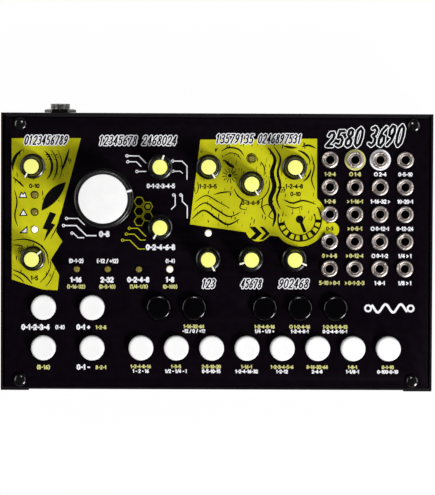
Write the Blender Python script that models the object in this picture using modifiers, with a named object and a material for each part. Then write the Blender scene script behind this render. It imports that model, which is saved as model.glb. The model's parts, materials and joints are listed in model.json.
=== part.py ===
"""Desktop synthesiser voice: a 40 HP, 3U eurorack module in its own case.

The front panel drops flush into a folded sheet case and is held by four screws.
Knobs, round buttons, lamps and patch sockets stand on two boards behind it, and a
third board lower down carries the output socket and the power inlet at the rear.
Units are metres, +Z is out of the panel, +Y is the rear, where the output leaves.
"""
import math

import bmesh
import bpy
from mathutils import Matrix, Vector

# Seats and clearances
SEAT_GAP = 0.0003            # between a piece and what it rests on
RUNNING_GAP = 0.0003         # round a piece that turns, slides or passes through
CUT_OVERRUN = 0.0010         # how far a cutter runs past the face that it cuts
WELD_DEPTH = 0.0004          # how deep a soldered or welded piece enters its carrier

# Front panel
PANEL_WIDTH = 0.2029         # 40 HP of 5.08 mm, less 0.3 mm
PANEL_DEPTH = 0.1285         # 3U
PANEL_THICKNESS = 0.0020
SCREW_INSET_X = 0.00747
SCREW_INSET_Y = 0.0030

# Case of folded sheet
SHEET = 0.0010
BEND_INNER_RADIUS = 0.0006
SIDE_GAP = 0.00085
FRONT_GAP = 0.0003
REAR_GAP = 0.00055
RAIL_COVER = 0.0070          # how far a rail reaches under the panel
RAIL_THICKNESS = 0.0015
RAIL_END_GAP = 0.0010
REAR_LEG = 0.0009            # rear rail's upright, which doubles the rear wall
FRONT_LEG_HEIGHT = 0.0080
LAP_WIDTH = 0.0134           # side walls folded round the front corners
LAP_PROUD = 0.0006
JOINT_STEP = 0.0001          # how far a welded flap ends short of the edge beside it

# Feet and panel screws
FOOT_HEIGHT = 0.0025
FOOT_TOP_DIAMETER = 0.0110
FOOT_BASE_DIAMETER = 0.0096
FOOT_CHAMFER = 0.0008
FOOT_INSET = 0.0120
SCREW_HEAD_DIAMETER = 0.0060
SCREW_HEAD_HEIGHT = 0.0019
SCREW_SHANK_DIAMETER = 0.0029
SCREW_LENGTH = 0.0080
SCREW_HOLE_GAP = 0.0003

# Boards
BOARD_THICKNESS = 0.0016
BOARD_SIDE_INSET = 0.0030
BOARD_RAIL_GAP = 0.0010
BOARD_SPLIT_GAP = 0.0007
UNDERSIDE_ROOM = 0.0083      # air between the case floor and the main board
SPACER_DIAMETER = 0.0050
POST_DIAMETER = 0.0050
BOARD_LINK_LENGTH = 0.0254
BOARD_LINK_WIDTH = 0.0051
POWER_HEADER_LENGTH = 0.0203
POWER_HEADER_WIDTH = 0.0089
POWER_HEADER_HEIGHT = 0.0089
POWER_HEADER_WALL = 0.0012

# Patch sockets, 3.5 mm
JACK_BODY_WIDTH = 0.0090
JACK_BODY_DEPTH = 0.0100
JACK_BODY_HEIGHT = 0.0097
JACK_BOARD_MARGIN = 0.0010
JACK_THREAD_DIAMETER = 0.0058
JACK_NUT_DIAMETER = 0.0081
JACK_NUT_HEIGHT = 0.0020
JACK_NUT_CHAMFER = 0.0004
JACK_BORE_DIAMETER = 0.0037
JACK_BORE_DEPTH = 0.0125

# Output socket, 6.35 mm, and power inlet in the rear wall
OUTPUT_BODY_WIDTH = 0.0160
OUTPUT_BODY_LENGTH = 0.0220
OUTPUT_BODY_HEIGHT = 0.0125
OUTPUT_HEADROOM = 0.0007
OUTPUT_THREAD_DIAMETER = 0.00952
OUTPUT_REACH = 0.0045        # thread beyond the rear wall
OUTPUT_BORE_DIAMETER = 0.0067
OUTPUT_BORE_DEPTH = 0.0240
OUTPUT_NUT_CORNERS = 0.0153
OUTPUT_NUT_THICKNESS = 0.0017
INLET_WIDTH = 0.0090
INLET_LENGTH = 0.0140
INLET_HEIGHT = 0.0110
INLET_COLLAR_DIAMETER = 0.0078
INLET_BORE_DIAMETER = 0.0060
INLET_BORE_DEPTH = 0.0095
INLET_PIN_DIAMETER = 0.0020
INLET_PIN_SET_BACK = 0.0010

# Knobs
KNOB_LIFT = 0.0008           # from the panel to the underside of a knob
SHAFT_DIAMETER = 0.0060
SHAFT_HOLE_GAP = 0.0007
POT_WIDTH = 0.0098
POT_DEPTH = 0.0120
POT_HEIGHT = 0.0068
CAP_THICKNESS = 0.0012
SKIRT_EDGE = 0.0011          # upright edge of a knob's skirt
SKIRT_FLARE_HEIGHT = 0.0020
POINTER_WIDTH = 0.0011
POINTER_PROUD = 0.00015
SMALL_KNOB_DIAMETER = 0.0120
SMALL_GRIP_DIAMETER = 0.0098
SMALL_TOP_DIAMETER = 0.0087
SMALL_CAP_DIAMETER = 0.0071
SMALL_KNOB_HEIGHT = 0.0135
LARGE_KNOB_DIAMETER = 0.0285
LARGE_GRIP_DIAMETER = 0.0270
LARGE_TOP_DIAMETER = 0.0250
LARGE_CAP_DIAMETER = 0.0233
LARGE_KNOB_HEIGHT = 0.0150

# Round buttons
BUTTON_DIAMETER = 0.0118
BUTTON_PROUD = 0.0035
BUTTON_BODY_HEIGHT = 0.0065
BUTTON_ROUNDING = 0.0007
BUTTON_TRAVEL = 0.0010
STEM_DIAMETER = 0.0034
STEM_ENTRY = 0.0008          # how far a stem stands in its switch at rest
SWITCH_WIDTH = 0.0080
SWITCH_HEIGHT = 0.0050

# Lamps
LAMP_DIAMETER = 0.0030
LAMP_PROUD = 0.0008

# Places on the panel, as shares of its width and depth from its centre
SMALL_KNOB_SHARES = ((-0.434, 0.320), (-0.433, -0.023), (-0.134, 0.319), (-0.1335, 0.0955),
                     (-0.0203, 0.320), (0.0808, 0.258), (0.182, 0.320),
                     (-0.0203, -0.022), (0.0808, -0.022), (0.1825, -0.022))
LARGE_KNOB_SHARES = (-0.2665, 0.2015)
WHITE_KEY_FIRST_SHARES = (-0.178, -0.355)
KEY_PITCH_SHARE = 0.0834
BLACK_KEY_ROW_SHARE = -0.204
FUNCTION_COLUMN_SHARES = (-0.408, -0.2933)
FUNCTION_ROW_SHARES = (-0.2055, -0.356)
JACK_FIRST_SHARES = (0.266, 0.348)
JACK_COLUMN_SHARE = 0.0592
JACK_ROW_SHARE = -0.1013
STATUS_LAMP_SHARES = ((-0.330, -0.0622), (-0.2572, -0.0622), (-0.1835, -0.0622), (-0.1108, -0.0622))
WAVE_LAMP_SHARES = ((-0.4295, 0.2135), (-0.4295, 0.1495), (-0.4295, 0.0842))
SINGLE_LAMP_SHARES = ((0.081, 0.3525), (-0.0202, 0.0727))
POST_SHARES = ((-0.46, -0.20), (0.46, -0.20), (-0.345, 0.40), (0.13, 0.40))
SPACER_SHARES = ((-0.455, 0.395), (0.455, 0.395), (-0.455, -0.16), (0.455, -0.16))
BOARD_LINK_SHARES = (-0.10, -0.10)
POWER_HEADER_SHARES = (0.20, 0.10)
MAIN_BOARD_FRONT_SHARE = -0.21
OUTPUT_SHARE = -0.3745
INLET_SHARE = -0.25

# Counts, and the pointers' rest angles, clockwise from the rear
WHITE_KEYS = 8
BLACK_KEY_GAPS = (0, 1, 3, 4, 5)
JACK_COLUMNS = 4
JACK_ROWS = 5
SMALL_KNOB_ANGLES = (-150, 49, 18, -150, 150, 150, 150, 150, -110, 114)
LARGE_KNOB_ANGLE = 73
SMALL_KNOB_SIDES = 14
LARGE_KNOB_SIDES = 28
BUTTON_SIDES = 16
JACK_SIDES = 10
FOOT_SIDES = 12
THREAD_SIDES = 16
NUT_SIDES = 6
SMALL_HOLE_SIDES = 8
SMOOTH_BELOW = math.radians(40)
WELD_DISTANCE = 0.000001

# Levels, from the surface that the feet stand on
CASE_BOTTOM = FOOT_HEIGHT
FLOOR_TOP = CASE_BOTTOM + SHEET
MAIN_BOTTOM = FLOOR_TOP + UNDERSIDE_ROOM
MAIN_TOP = MAIN_BOTTOM + BOARD_THICKNESS
CONTROL_BOTTOM = MAIN_TOP + SEAT_GAP + OUTPUT_BODY_HEIGHT + OUTPUT_HEADROOM
CONTROL_TOP = CONTROL_BOTTOM + BOARD_THICKNESS
PANEL_BOTTOM = CONTROL_TOP + JACK_BODY_HEIGHT + SEAT_GAP
PANEL_TOP = PANEL_BOTTOM + PANEL_THICKNESS
RAIL_TOP = PANEL_BOTTOM - SEAT_GAP
RAIL_BOTTOM = RAIL_TOP - RAIL_THICKNESS

# Faces of the case and edges of the boards, from the middle of the panel
SIDE_FACE = PANEL_WIDTH / 2 + SIDE_GAP + SHEET
FRONT_FACE = -(PANEL_DEPTH / 2 + FRONT_GAP + SHEET)
REAR_FACE = PANEL_DEPTH / 2 + REAR_GAP + REAR_LEG + SHEET
RAIL_EDGE = PANEL_DEPTH / 2 - RAIL_COVER
BOARD_SIDE = PANEL_WIDTH / 2 - BOARD_SIDE_INSET
BOARD_EDGE = RAIL_EDGE - BOARD_RAIL_GAP
LAP_FACE = FRONT_FACE - LAP_PROUD
SOCKET_TIP = REAR_FACE + OUTPUT_REACH
OUTPUT_LEVEL = MAIN_TOP + SEAT_GAP + OUTPUT_BODY_HEIGHT / 2
INLET_LEVEL = MAIN_TOP + SEAT_GAP + INLET_HEIGHT / 2
SWITCH_BORE = STEM_DIAMETER / 2 + RUNNING_GAP


def on_panel(shares):
    """Return the place on the panel that a pair of shares names."""
    return Vector((shares[0] * PANEL_WIDTH, shares[1] * PANEL_DEPTH, 0))


def white_key_places():
    """Return the places of the front row of keys, from left to right."""
    first, row = WHITE_KEY_FIRST_SHARES
    return [on_panel((first + KEY_PITCH_SHARE * key, row)) for key in range(WHITE_KEYS)]


def black_key_places():
    """Return the places of the raised row, each midway between two front keys."""
    whites = white_key_places()
    row = on_panel((0, BLACK_KEY_ROW_SHARE))
    return [Vector(((whites[gap].x + whites[gap + 1].x) / 2, row.y, 0)) for gap in BLACK_KEY_GAPS]


def function_button_places():
    """Return the places of the four buttons at the left, rear pair first."""
    return [on_panel((column, row)) for row in FUNCTION_ROW_SHARES for column in FUNCTION_COLUMN_SHARES]


def button_places():
    """Return the places of all the round buttons."""
    return white_key_places() + black_key_places() + function_button_places()


def jack_places():
    """Return the places of the patch sockets, row by row from the rear left."""
    column, row = JACK_FIRST_SHARES
    return [on_panel((column + JACK_COLUMN_SHARE * across, row + JACK_ROW_SHARE * down))
            for down in range(JACK_ROWS) for across in range(JACK_COLUMNS)]


def knob_places():
    """Return the places of the small knobs and then of the large one."""
    return [on_panel(shares) for shares in SMALL_KNOB_SHARES + (LARGE_KNOB_SHARES,)]


def lamp_places():
    """Return the places of all the lamps."""
    return [on_panel(shares) for shares in STATUS_LAMP_SHARES + WAVE_LAMP_SHARES + SINGLE_LAMP_SHARES]


def screw_places():
    """Return the four corner screws' places."""
    across = PANEL_WIDTH / 2 - SCREW_INSET_X
    along = PANEL_DEPTH / 2 - SCREW_INSET_Y
    return [Vector((side * across, end * along, 0)) for end in (1, -1) for side in (-1, 1)]


def new_collection(name):
    """Return a new collection in the scene."""
    group = bpy.data.collections.new(name)
    bpy.context.scene.collection.children.link(group)
    return group


def new_material(name, colour, roughness, metallic=0.0):
    """Return a Principled material."""
    material = bpy.data.materials.new(name)
    material.use_nodes = True
    shader = material.node_tree.nodes["Principled BSDF"]
    shader.inputs["Base Color"].default_value = (*colour, 1.0)
    shader.inputs["Roughness"].default_value = roughness
    shader.inputs["Metallic"].default_value = metallic
    return material


def add_box(shape, low, high):
    """Add a box between two corners to a bmesh."""
    low, high = Vector(low), Vector(high)
    place = Matrix.Translation((low + high) / 2) @ Matrix.Diagonal((*(high - low), 1))
    bmesh.ops.create_cube(shape, size=1, matrix=place)


def add_block(shape, centre, width, depth, bottom, top):
    """Add an upright block round a place on the panel to a bmesh."""
    half = Vector((width / 2, depth / 2, 0))
    add_box(shape, centre - half + Vector((0, 0, bottom)), centre + half + Vector((0, 0, top)))


def add_rod(shape, centre, diameter, bottom, top, sides):
    """Add an upright cylinder round a place on the panel to a bmesh."""
    place = Matrix.Translation(centre + Vector((0, 0, (bottom + top) / 2)))
    bmesh.ops.create_cone(shape, cap_ends=True, segments=sides, radius1=diameter / 2,
                          radius2=diameter / 2, depth=top - bottom, matrix=place)


def add_rear_rod(shape, across, level, diameter, front, rear, sides):
    """Add a cylinder that lies along Y to a bmesh, with a corner at each side."""
    place = (Matrix.Translation((across, (front + rear) / 2, level)) @ Matrix.Rotation(math.pi / 2, 4, "X")
             @ Matrix.Rotation(math.pi / 2, 4, "Z"))
    bmesh.ops.create_cone(shape, cap_ends=True, segments=sides, radius1=diameter / 2,
                          radius2=diameter / 2, depth=rear - front, matrix=place)


def add_copy(shape, mesh, place):
    """Add a copy of a mesh at a place to a bmesh."""
    placed = mesh.copy()
    placed.transform(Matrix.Translation(place))
    shape.from_mesh(placed)
    bpy.data.meshes.remove(placed)


def mesh_of(shape, name):
    """Turn a bmesh into a mesh, with round stretches shaded smooth."""
    mesh = bpy.data.meshes.new(name)
    shape.to_mesh(mesh)
    shape.free()
    mesh.shade_smooth()
    mesh.set_sharp_from_angle(angle=SMOOTH_BELOW)
    return mesh


def baked(piece):
    """Return the mesh that a piece's modifiers make, and remove the piece."""
    bpy.context.view_layer.update()
    graph = bpy.context.evaluated_depsgraph_get()
    mesh = bpy.data.meshes.new_from_object(piece.evaluated_get(graph))
    mesh.name = piece.name
    bpy.data.objects.remove(piece)
    mesh.shade_smooth()
    mesh.set_sharp_from_angle(angle=SMOOTH_BELOW)
    return mesh


def combine(piece, other, operation):
    """Give a piece a Boolean with another object."""
    change = piece.modifiers.new(other.name, "BOOLEAN")
    change.operation = operation
    change.object = other
    change.solver = "EXACT"


class Workshop:
    """The part's collections, its finishes and the empty that carries every piece."""

    def __init__(self):
        """Clear the scene and make the collections and the carrier."""
        for thing in list(bpy.data.objects):
            bpy.data.objects.remove(thing)
        self.parts = new_collection("synth_voice")
        self.cutters = new_collection("cutters")
        self.carrier = bpy.data.objects.new("voice", None)
        self.carrier.location.y = -(SOCKET_TIP + LAP_FACE) / 2
        self.parts.objects.link(self.carrier)
        bpy.context.view_layer.update()
        self.finishes = {
            "case": new_material("case_black", (0.012, 0.011, 0.013), 0.55, 0.2),
            "panel": new_material("panel_black", (0.008, 0.006, 0.009), 0.50, 0.1),
            "screw": new_material("screw_black", (0.02, 0.02, 0.022), 0.35, 0.9),
            "rubber": new_material("foot_rubber", (0.015, 0.015, 0.015), 0.85),
            "board": new_material("board_green", (0.01, 0.07, 0.03), 0.45),
            "nickel": new_material("socket_nickel", (0.60, 0.58, 0.55), 0.25, 1.0),
            "moulding": new_material("black_moulding", (0.018, 0.018, 0.018), 0.50),
            "knob": new_material("knob_black", (0.014, 0.013, 0.016), 0.42),
            "yellow": new_material("cap_yellow", (0.85, 0.95, 0.12), 0.45),
            "white": new_material("button_white", (0.85, 0.85, 0.83), 0.40),
            "black": new_material("button_black", (0.010, 0.010, 0.011), 0.35),
            "brass": new_material("spacer_brass", (0.55, 0.42, 0.18), 0.35, 1.0),
        }

    def piece(self, name, mesh, finish, place=(0, 0, 0), turn=0):
        """Add one piece of the object and return it."""
        thing = bpy.data.objects.new(name, mesh)
        if not mesh.materials:
            mesh.materials.append(self.finishes[finish])
        thing.parent = self.carrier
        thing.location = place
        thing.rotation_euler.z = turn
        self.parts.objects.link(thing)
        return thing

    def cutter(self, name, shape):
        """Add a cutting or joining body and return it."""
        thing = bpy.data.objects.new(name, mesh_of(shape, name))
        thing.parent = self.carrier
        thing.hide_render = True
        thing.display_type = "WIRE"
        self.cutters.objects.link(thing)
        return thing

    def box_cutter(self, name, low, high):
        """Add a box between two corners as a cutting or joining body."""
        shape = bmesh.new()
        add_box(shape, low, high)
        return self.cutter(name, shape)

    def turned(self, name, profile, sides):
        """Return a helper object that turns a profile of radius and height about Z."""
        shape = bmesh.new()
        points = [shape.verts.new((radius, 0, height)) for radius, height in profile]
        for start, end in zip(points, points[1:]):
            shape.edges.new((start, end))
        mesh = bpy.data.meshes.new(name)
        shape.to_mesh(mesh)
        shape.free()
        thing = bpy.data.objects.new(name, mesh)
        self.cutters.objects.link(thing)
        thing.hide_render = True
        thing.display_type = "WIRE"
        spin = thing.modifiers.new("turn", "SCREW")
        spin.steps = sides
        spin.render_steps = sides
        spin.use_merge_vertices = True
        spin.merge_threshold = WELD_DISTANCE
        return thing


def make_case(shop):
    """Make the folded case with its two rails, front laps and rear holes."""
    shape = bmesh.new()
    add_box(shape, (-SIDE_FACE, FRONT_FACE, CASE_BOTTOM), (SIDE_FACE, REAR_FACE, PANEL_TOP))
    lid = max(shape.faces, key=lambda face: face.calc_center_median().z)
    base = min(shape.faces, key=lambda face: face.calc_center_median().z)
    bmesh.ops.delete(shape, geom=[lid], context="FACES_ONLY")
    bmesh.ops.bevel(shape, geom=list(base.edges), offset=BEND_INNER_RADIUS + SHEET, segments=2,
                    profile=0.5, affect="EDGES")
    case = shop.piece("case", mesh_of(shape, "case"), "case")
    walls = case.modifiers.new("walls", "SOLIDIFY")
    walls.thickness = SHEET
    walls.offset = -1
    walls.use_even_offset = True

    rail_end = SIDE_FACE - SHEET - RAIL_END_GAP
    leg_end = rail_end - JOINT_STEP
    rail_middle = (RAIL_BOTTOM + RAIL_TOP) / 2
    rear_wall = REAR_FACE - SHEET
    front_wall = FRONT_FACE + SHEET
    rim = PANEL_TOP - JOINT_STEP
    joined = {
        "rear_rail": ((-rail_end, RAIL_EDGE, RAIL_BOTTOM), (rail_end, rear_wall + WELD_DEPTH, RAIL_TOP)),
        "rear_rail_leg": ((-leg_end, rear_wall - REAR_LEG, rail_middle),
                          (leg_end, rear_wall + WELD_DEPTH / 2, rim)),
        "front_rail": ((-rail_end, front_wall - WELD_DEPTH, RAIL_BOTTOM), (rail_end, -RAIL_EDGE, RAIL_TOP)),
        "front_rail_leg": ((-leg_end, front_wall - WELD_DEPTH / 2, RAIL_TOP - FRONT_LEG_HEIGHT),
                           (leg_end, front_wall + RAIL_THICKNESS, rail_middle)),
    }
    lap_bottom = CASE_BOTTOM + BEND_INNER_RADIUS + SHEET
    side = SIDE_FACE - JOINT_STEP
    for name, outer, inner in (("left_lap", -side, LAP_WIDTH - SIDE_FACE),
                               ("right_lap", SIDE_FACE - LAP_WIDTH, side)):
        joined[name] = ((outer, LAP_FACE, lap_bottom), (inner, FRONT_FACE + WELD_DEPTH, rim))
    for name, (low, high) in joined.items():
        combine(case, shop.box_cutter(name, low, high), "UNION")

    holes = bmesh.new()
    for place in screw_places():
        add_rod(holes, place, SCREW_SHANK_DIAMETER + 2 * SCREW_HOLE_GAP, RAIL_BOTTOM - CUT_OVERRUN,
                RAIL_TOP + SEAT_GAP / 2, SMALL_HOLE_SIDES)
    for share, level, diameter in ((OUTPUT_SHARE, OUTPUT_LEVEL, OUTPUT_THREAD_DIAMETER),
                                   (INLET_SHARE, INLET_LEVEL, INLET_COLLAR_DIAMETER)):
        add_rear_rod(holes, on_panel((share, 0)).x, level, diameter + 2 * RUNNING_GAP,
                     rear_wall - CUT_OVERRUN, REAR_FACE + CUT_OVERRUN, THREAD_SIDES)
    combine(case, shop.cutter("case_holes", holes), "DIFFERENCE")


def make_front_panel(shop):
    """Make the front panel with a hole for everything that stands through it."""
    shape = bmesh.new()
    add_block(shape, Vector(), PANEL_WIDTH, PANEL_DEPTH, PANEL_BOTTOM, PANEL_TOP)
    panel = shop.piece("front_panel", mesh_of(shape, "front_panel"), "panel")
    holes = bmesh.new()
    for places, diameter, sides in (
            (knob_places(), SHAFT_DIAMETER + 2 * SHAFT_HOLE_GAP, SMALL_HOLE_SIDES),
            (button_places(), BUTTON_DIAMETER + 2 * RUNNING_GAP, BUTTON_SIDES),
            (jack_places(), JACK_THREAD_DIAMETER + 2 * RUNNING_GAP, JACK_SIDES),
            (lamp_places(), LAMP_DIAMETER + 2 * RUNNING_GAP, SMALL_HOLE_SIDES),
            (screw_places(), SCREW_SHANK_DIAMETER + 2 * SCREW_HOLE_GAP, SMALL_HOLE_SIDES)):
        for place in places:
            add_rod(holes, place, diameter, PANEL_BOTTOM - CUT_OVERRUN, PANEL_TOP + CUT_OVERRUN, sides)
    combine(panel, shop.cutter("panel_holes", holes), "DIFFERENCE")


def make_screws_and_feet(shop):
    """Make the four panel screws and the four rubber feet."""
    head, shank = SCREW_HEAD_DIAMETER / 2, SCREW_SHANK_DIAMETER / 2
    profile = ((0, SEAT_GAP + SCREW_HEAD_HEIGHT), (head * 0.7, SEAT_GAP + SCREW_HEAD_HEIGHT * 0.9),
               (head, SEAT_GAP + SCREW_HEAD_HEIGHT * 0.4), (head, SEAT_GAP), (shank, SEAT_GAP),
               (shank, -SCREW_LENGTH), (0, -SCREW_LENGTH))
    screw = baked(shop.turned("panel_screw", profile, SMALL_HOLE_SIDES))
    for number, place in enumerate(screw_places(), 1):
        shop.piece(f"panel_screw_{number}", screw, "screw", place + Vector((0, 0, PANEL_TOP)))

    top, base = FOOT_TOP_DIAMETER / 2, FOOT_BASE_DIAMETER / 2
    seat = FOOT_HEIGHT - SEAT_GAP
    profile = ((0, seat), (top, seat), (top, FOOT_CHAMFER), (base, 0), (0, 0))
    foot = baked(shop.turned("foot", profile, FOOT_SIDES))
    across = SIDE_FACE - FOOT_INSET
    corners = [(side * across, along) for along in (REAR_FACE - FOOT_INSET, FRONT_FACE + FOOT_INSET)
               for side in (-1, 1)]
    for number, (x, y) in enumerate(corners, 1):
        shop.piece(f"foot_{number}", foot, "rubber", (x, y, 0))


def jack_board_corner():
    """Return the front left corner of the patch sockets' board."""
    first, last = jack_places()[0], jack_places()[-1]
    return (first.x - JACK_BODY_WIDTH / 2 - JACK_BOARD_MARGIN,
            last.y - JACK_BODY_DEPTH / 2 - JACK_BOARD_MARGIN)


def make_control_board(shop):
    """Make the board of knob pots, button switches and lamps behind the panel."""
    shape = bmesh.new()
    add_block(shape, Vector(), 2 * BOARD_SIDE, 2 * BOARD_EDGE, CONTROL_BOTTOM, CONTROL_TOP)
    board = shop.piece("control_board", mesh_of(shape, "control_board"), "board")
    left, front = jack_board_corner()
    corner = shop.box_cutter("jack_board_corner",
                             (left - BOARD_SPLIT_GAP, front - BOARD_SPLIT_GAP, CONTROL_BOTTOM - CUT_OVERRUN),
                             (BOARD_SIDE + CUT_OVERRUN, BOARD_EDGE + CUT_OVERRUN, CONTROL_TOP + CUT_OVERRUN))
    combine(board, corner, "DIFFERENCE")

    bodies = bmesh.new()
    seat = CONTROL_TOP - WELD_DEPTH
    for place in knob_places():
        add_block(bodies, place, POT_WIDTH, POT_DEPTH, seat, CONTROL_TOP + POT_HEIGHT)
    for place in button_places():
        add_block(bodies, place, SWITCH_WIDTH, SWITCH_WIDTH, seat, CONTROL_TOP + SWITCH_HEIGHT)
    for shares in POST_SHARES:
        add_rod(bodies, on_panel(shares), POST_DIAMETER, seat, PANEL_BOTTOM - SEAT_GAP, SMALL_HOLE_SIDES)
    radius = LAMP_DIAMETER / 2
    tip = PANEL_TOP + LAMP_PROUD
    lamp = baked(shop.turned("lamp", ((0, tip), (radius * 0.6, tip - radius * 0.2), (radius, tip - radius),
                                      (radius, seat), (0, seat)), SMALL_HOLE_SIDES))
    for place in lamp_places():
        add_copy(bodies, lamp, place)
    combine(board, shop.cutter("control_bodies", bodies), "UNION")

    bores = bmesh.new()
    top = CONTROL_TOP + SWITCH_HEIGHT
    for place in button_places():
        add_rod(bores, place, 2 * SWITCH_BORE, top - STEM_ENTRY - BUTTON_TRAVEL - RUNNING_GAP,
                top + CUT_OVERRUN, SMALL_HOLE_SIDES)
    combine(board, shop.cutter("switch_bores", bores), "DIFFERENCE")


def make_jack_board(shop):
    """Make the board of patch sockets, whose nuts hold it to the panel."""
    left, front = jack_board_corner()
    shape = bmesh.new()
    add_box(shape, (left, front, CONTROL_BOTTOM), (BOARD_SIDE, BOARD_EDGE, CONTROL_TOP))
    board = shop.piece("jack_board", mesh_of(shape, "jack_board"), "nickel")
    seat = CONTROL_TOP - WELD_DEPTH
    body_top = CONTROL_TOP + JACK_BODY_HEIGHT
    nut_top = PANEL_TOP + SEAT_GAP + JACK_NUT_HEIGHT
    nut, thread = JACK_NUT_DIAMETER / 2, JACK_THREAD_DIAMETER / 2
    barrel = baked(shop.turned("jack_barrel", (
        (0, nut_top), (nut - JACK_NUT_CHAMFER, nut_top), (nut, nut_top - JACK_NUT_CHAMFER),
        (nut, PANEL_TOP + SEAT_GAP), (thread, PANEL_TOP + SEAT_GAP), (thread, body_top - WELD_DEPTH),
        (0, body_top - WELD_DEPTH)), JACK_SIDES))
    bodies, barrels, bores = bmesh.new(), bmesh.new(), bmesh.new()
    for place in jack_places():
        add_block(bodies, place, JACK_BODY_WIDTH, JACK_BODY_DEPTH, seat, body_top)
        add_copy(barrels, barrel, place)
        add_rod(bores, place, JACK_BORE_DIAMETER, nut_top - JACK_BORE_DEPTH, nut_top + CUT_OVERRUN,
                SMALL_HOLE_SIDES)
    combine(board, shop.cutter("jack_bodies", bodies), "UNION")
    combine(board, shop.cutter("jack_barrels", barrels), "UNION")
    combine(board, shop.cutter("jack_bores", bores), "DIFFERENCE")


def make_main_board(shop):
    """Make the lower board with its power header, the spacers and the link between boards."""
    front = on_panel((0, MAIN_BOARD_FRONT_SHARE)).y
    shape = bmesh.new()
    add_box(shape, (-BOARD_SIDE, front, MAIN_BOTTOM), (BOARD_SIDE, BOARD_EDGE, MAIN_TOP))
    board = shop.piece("main_board", mesh_of(shape, "main_board"), "board")
    header, pocket = bmesh.new(), bmesh.new()
    place = on_panel(POWER_HEADER_SHARES)
    top = MAIN_TOP + POWER_HEADER_HEIGHT
    add_block(header, place, POWER_HEADER_LENGTH, POWER_HEADER_WIDTH, MAIN_TOP - WELD_DEPTH, top)
    add_block(pocket, place, POWER_HEADER_LENGTH - 2 * POWER_HEADER_WALL,
              POWER_HEADER_WIDTH - 2 * POWER_HEADER_WALL, MAIN_TOP + POWER_HEADER_WALL, top + CUT_OVERRUN)
    combine(board, shop.cutter("power_header", header), "UNION")
    combine(board, shop.cutter("power_header_pocket", pocket), "DIFFERENCE")

    low, high = MAIN_TOP + SEAT_GAP, CONTROL_BOTTOM - SEAT_GAP
    shape = bmesh.new()
    add_rod(shape, Vector(), SPACER_DIAMETER, low, high, SMALL_HOLE_SIDES)
    spacer = mesh_of(shape, "board_spacer")
    for number, shares in enumerate(SPACER_SHARES, 1):
        shop.piece(f"board_spacer_{number}", spacer, "brass", on_panel(shares))
    shape = bmesh.new()
    add_block(shape, Vector(), BOARD_LINK_LENGTH, BOARD_LINK_WIDTH, low, high)
    shop.piece("board_link", mesh_of(shape, "board_link"), "moulding", on_panel(BOARD_LINK_SHARES))


def make_output_socket(shop):
    """Make the output socket that passes through the rear wall, and its nut."""
    across = on_panel((OUTPUT_SHARE, 0)).x
    face = REAR_FACE - SHEET - SEAT_GAP
    half = OUTPUT_BODY_WIDTH / 2
    shape = bmesh.new()
    add_box(shape, (across - half, face - OUTPUT_BODY_LENGTH, MAIN_TOP + SEAT_GAP),
            (across + half, face, MAIN_TOP + SEAT_GAP + OUTPUT_BODY_HEIGHT))
    socket = shop.piece("output_jack", mesh_of(shape, "output_jack"), "moulding")
    thread, bore = bmesh.new(), bmesh.new()
    add_rear_rod(thread, across, OUTPUT_LEVEL, OUTPUT_THREAD_DIAMETER, face - WELD_DEPTH, SOCKET_TIP,
                 THREAD_SIDES)
    add_rear_rod(bore, across, OUTPUT_LEVEL, OUTPUT_BORE_DIAMETER, SOCKET_TIP - OUTPUT_BORE_DEPTH,
                 SOCKET_TIP + CUT_OVERRUN, JACK_SIDES)
    combine(socket, shop.cutter("output_thread", thread), "UNION")
    combine(socket, shop.cutter("output_bore", bore), "DIFFERENCE")

    shape, hole = bmesh.new(), bmesh.new()
    seat = REAR_FACE + SEAT_GAP
    add_rear_rod(shape, across, OUTPUT_LEVEL, OUTPUT_NUT_CORNERS, seat, seat + OUTPUT_NUT_THICKNESS,
                 NUT_SIDES)
    nut = shop.piece("output_jack_nut", mesh_of(shape, "output_jack_nut"), "screw")
    add_rear_rod(hole, across, OUTPUT_LEVEL, OUTPUT_THREAD_DIAMETER + 2 * RUNNING_GAP,
                 seat - CUT_OVERRUN, seat + OUTPUT_NUT_THICKNESS + CUT_OVERRUN, THREAD_SIDES)
    combine(nut, shop.cutter("output_nut_hole", hole), "DIFFERENCE")


def make_power_inlet(shop):
    """Make the power inlet, whose collar lies flush in the rear wall."""
    across = on_panel((INLET_SHARE, 0)).x
    face = REAR_FACE - SHEET - SEAT_GAP
    half = INLET_WIDTH / 2
    shape = bmesh.new()
    add_box(shape, (across - half, face - INLET_LENGTH, MAIN_TOP + SEAT_GAP),
            (across + half, face, MAIN_TOP + SEAT_GAP + INLET_HEIGHT))
    inlet = shop.piece("power_inlet", mesh_of(shape, "power_inlet"), "moulding")
    floor = REAR_FACE - INLET_BORE_DEPTH
    for name, diameter, front, rear, operation in (
            ("inlet_collar", INLET_COLLAR_DIAMETER, face - WELD_DEPTH, REAR_FACE, "UNION"),
            ("inlet_bore", INLET_BORE_DIAMETER, floor, REAR_FACE + CUT_OVERRUN, "DIFFERENCE"),
            ("inlet_pin", INLET_PIN_DIAMETER, floor - WELD_DEPTH, REAR_FACE - INLET_PIN_SET_BACK, "UNION")):
        rod = bmesh.new()
        add_rear_rod(rod, across, INLET_LEVEL, diameter, front, rear, FOOT_SIDES)
        combine(inlet, shop.cutter(name, rod), operation)


def knob_profile(skirt, grip, top, recess, height, proud):
    """Return half of a knob's outline down to its underside, its outer faces moved out by proud."""
    edge = KNOB_LIFT + SKIRT_EDGE
    return ((0, height - CAP_THICKNESS - SEAT_GAP), (recess, height - CAP_THICKNESS - SEAT_GAP),
            (recess, height + proud), (top + proud, height + proud),
            (grip + proud, edge + SKIRT_FLARE_HEIGHT), (skirt + proud, edge), (skirt + proud, KNOB_LIFT))


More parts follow.
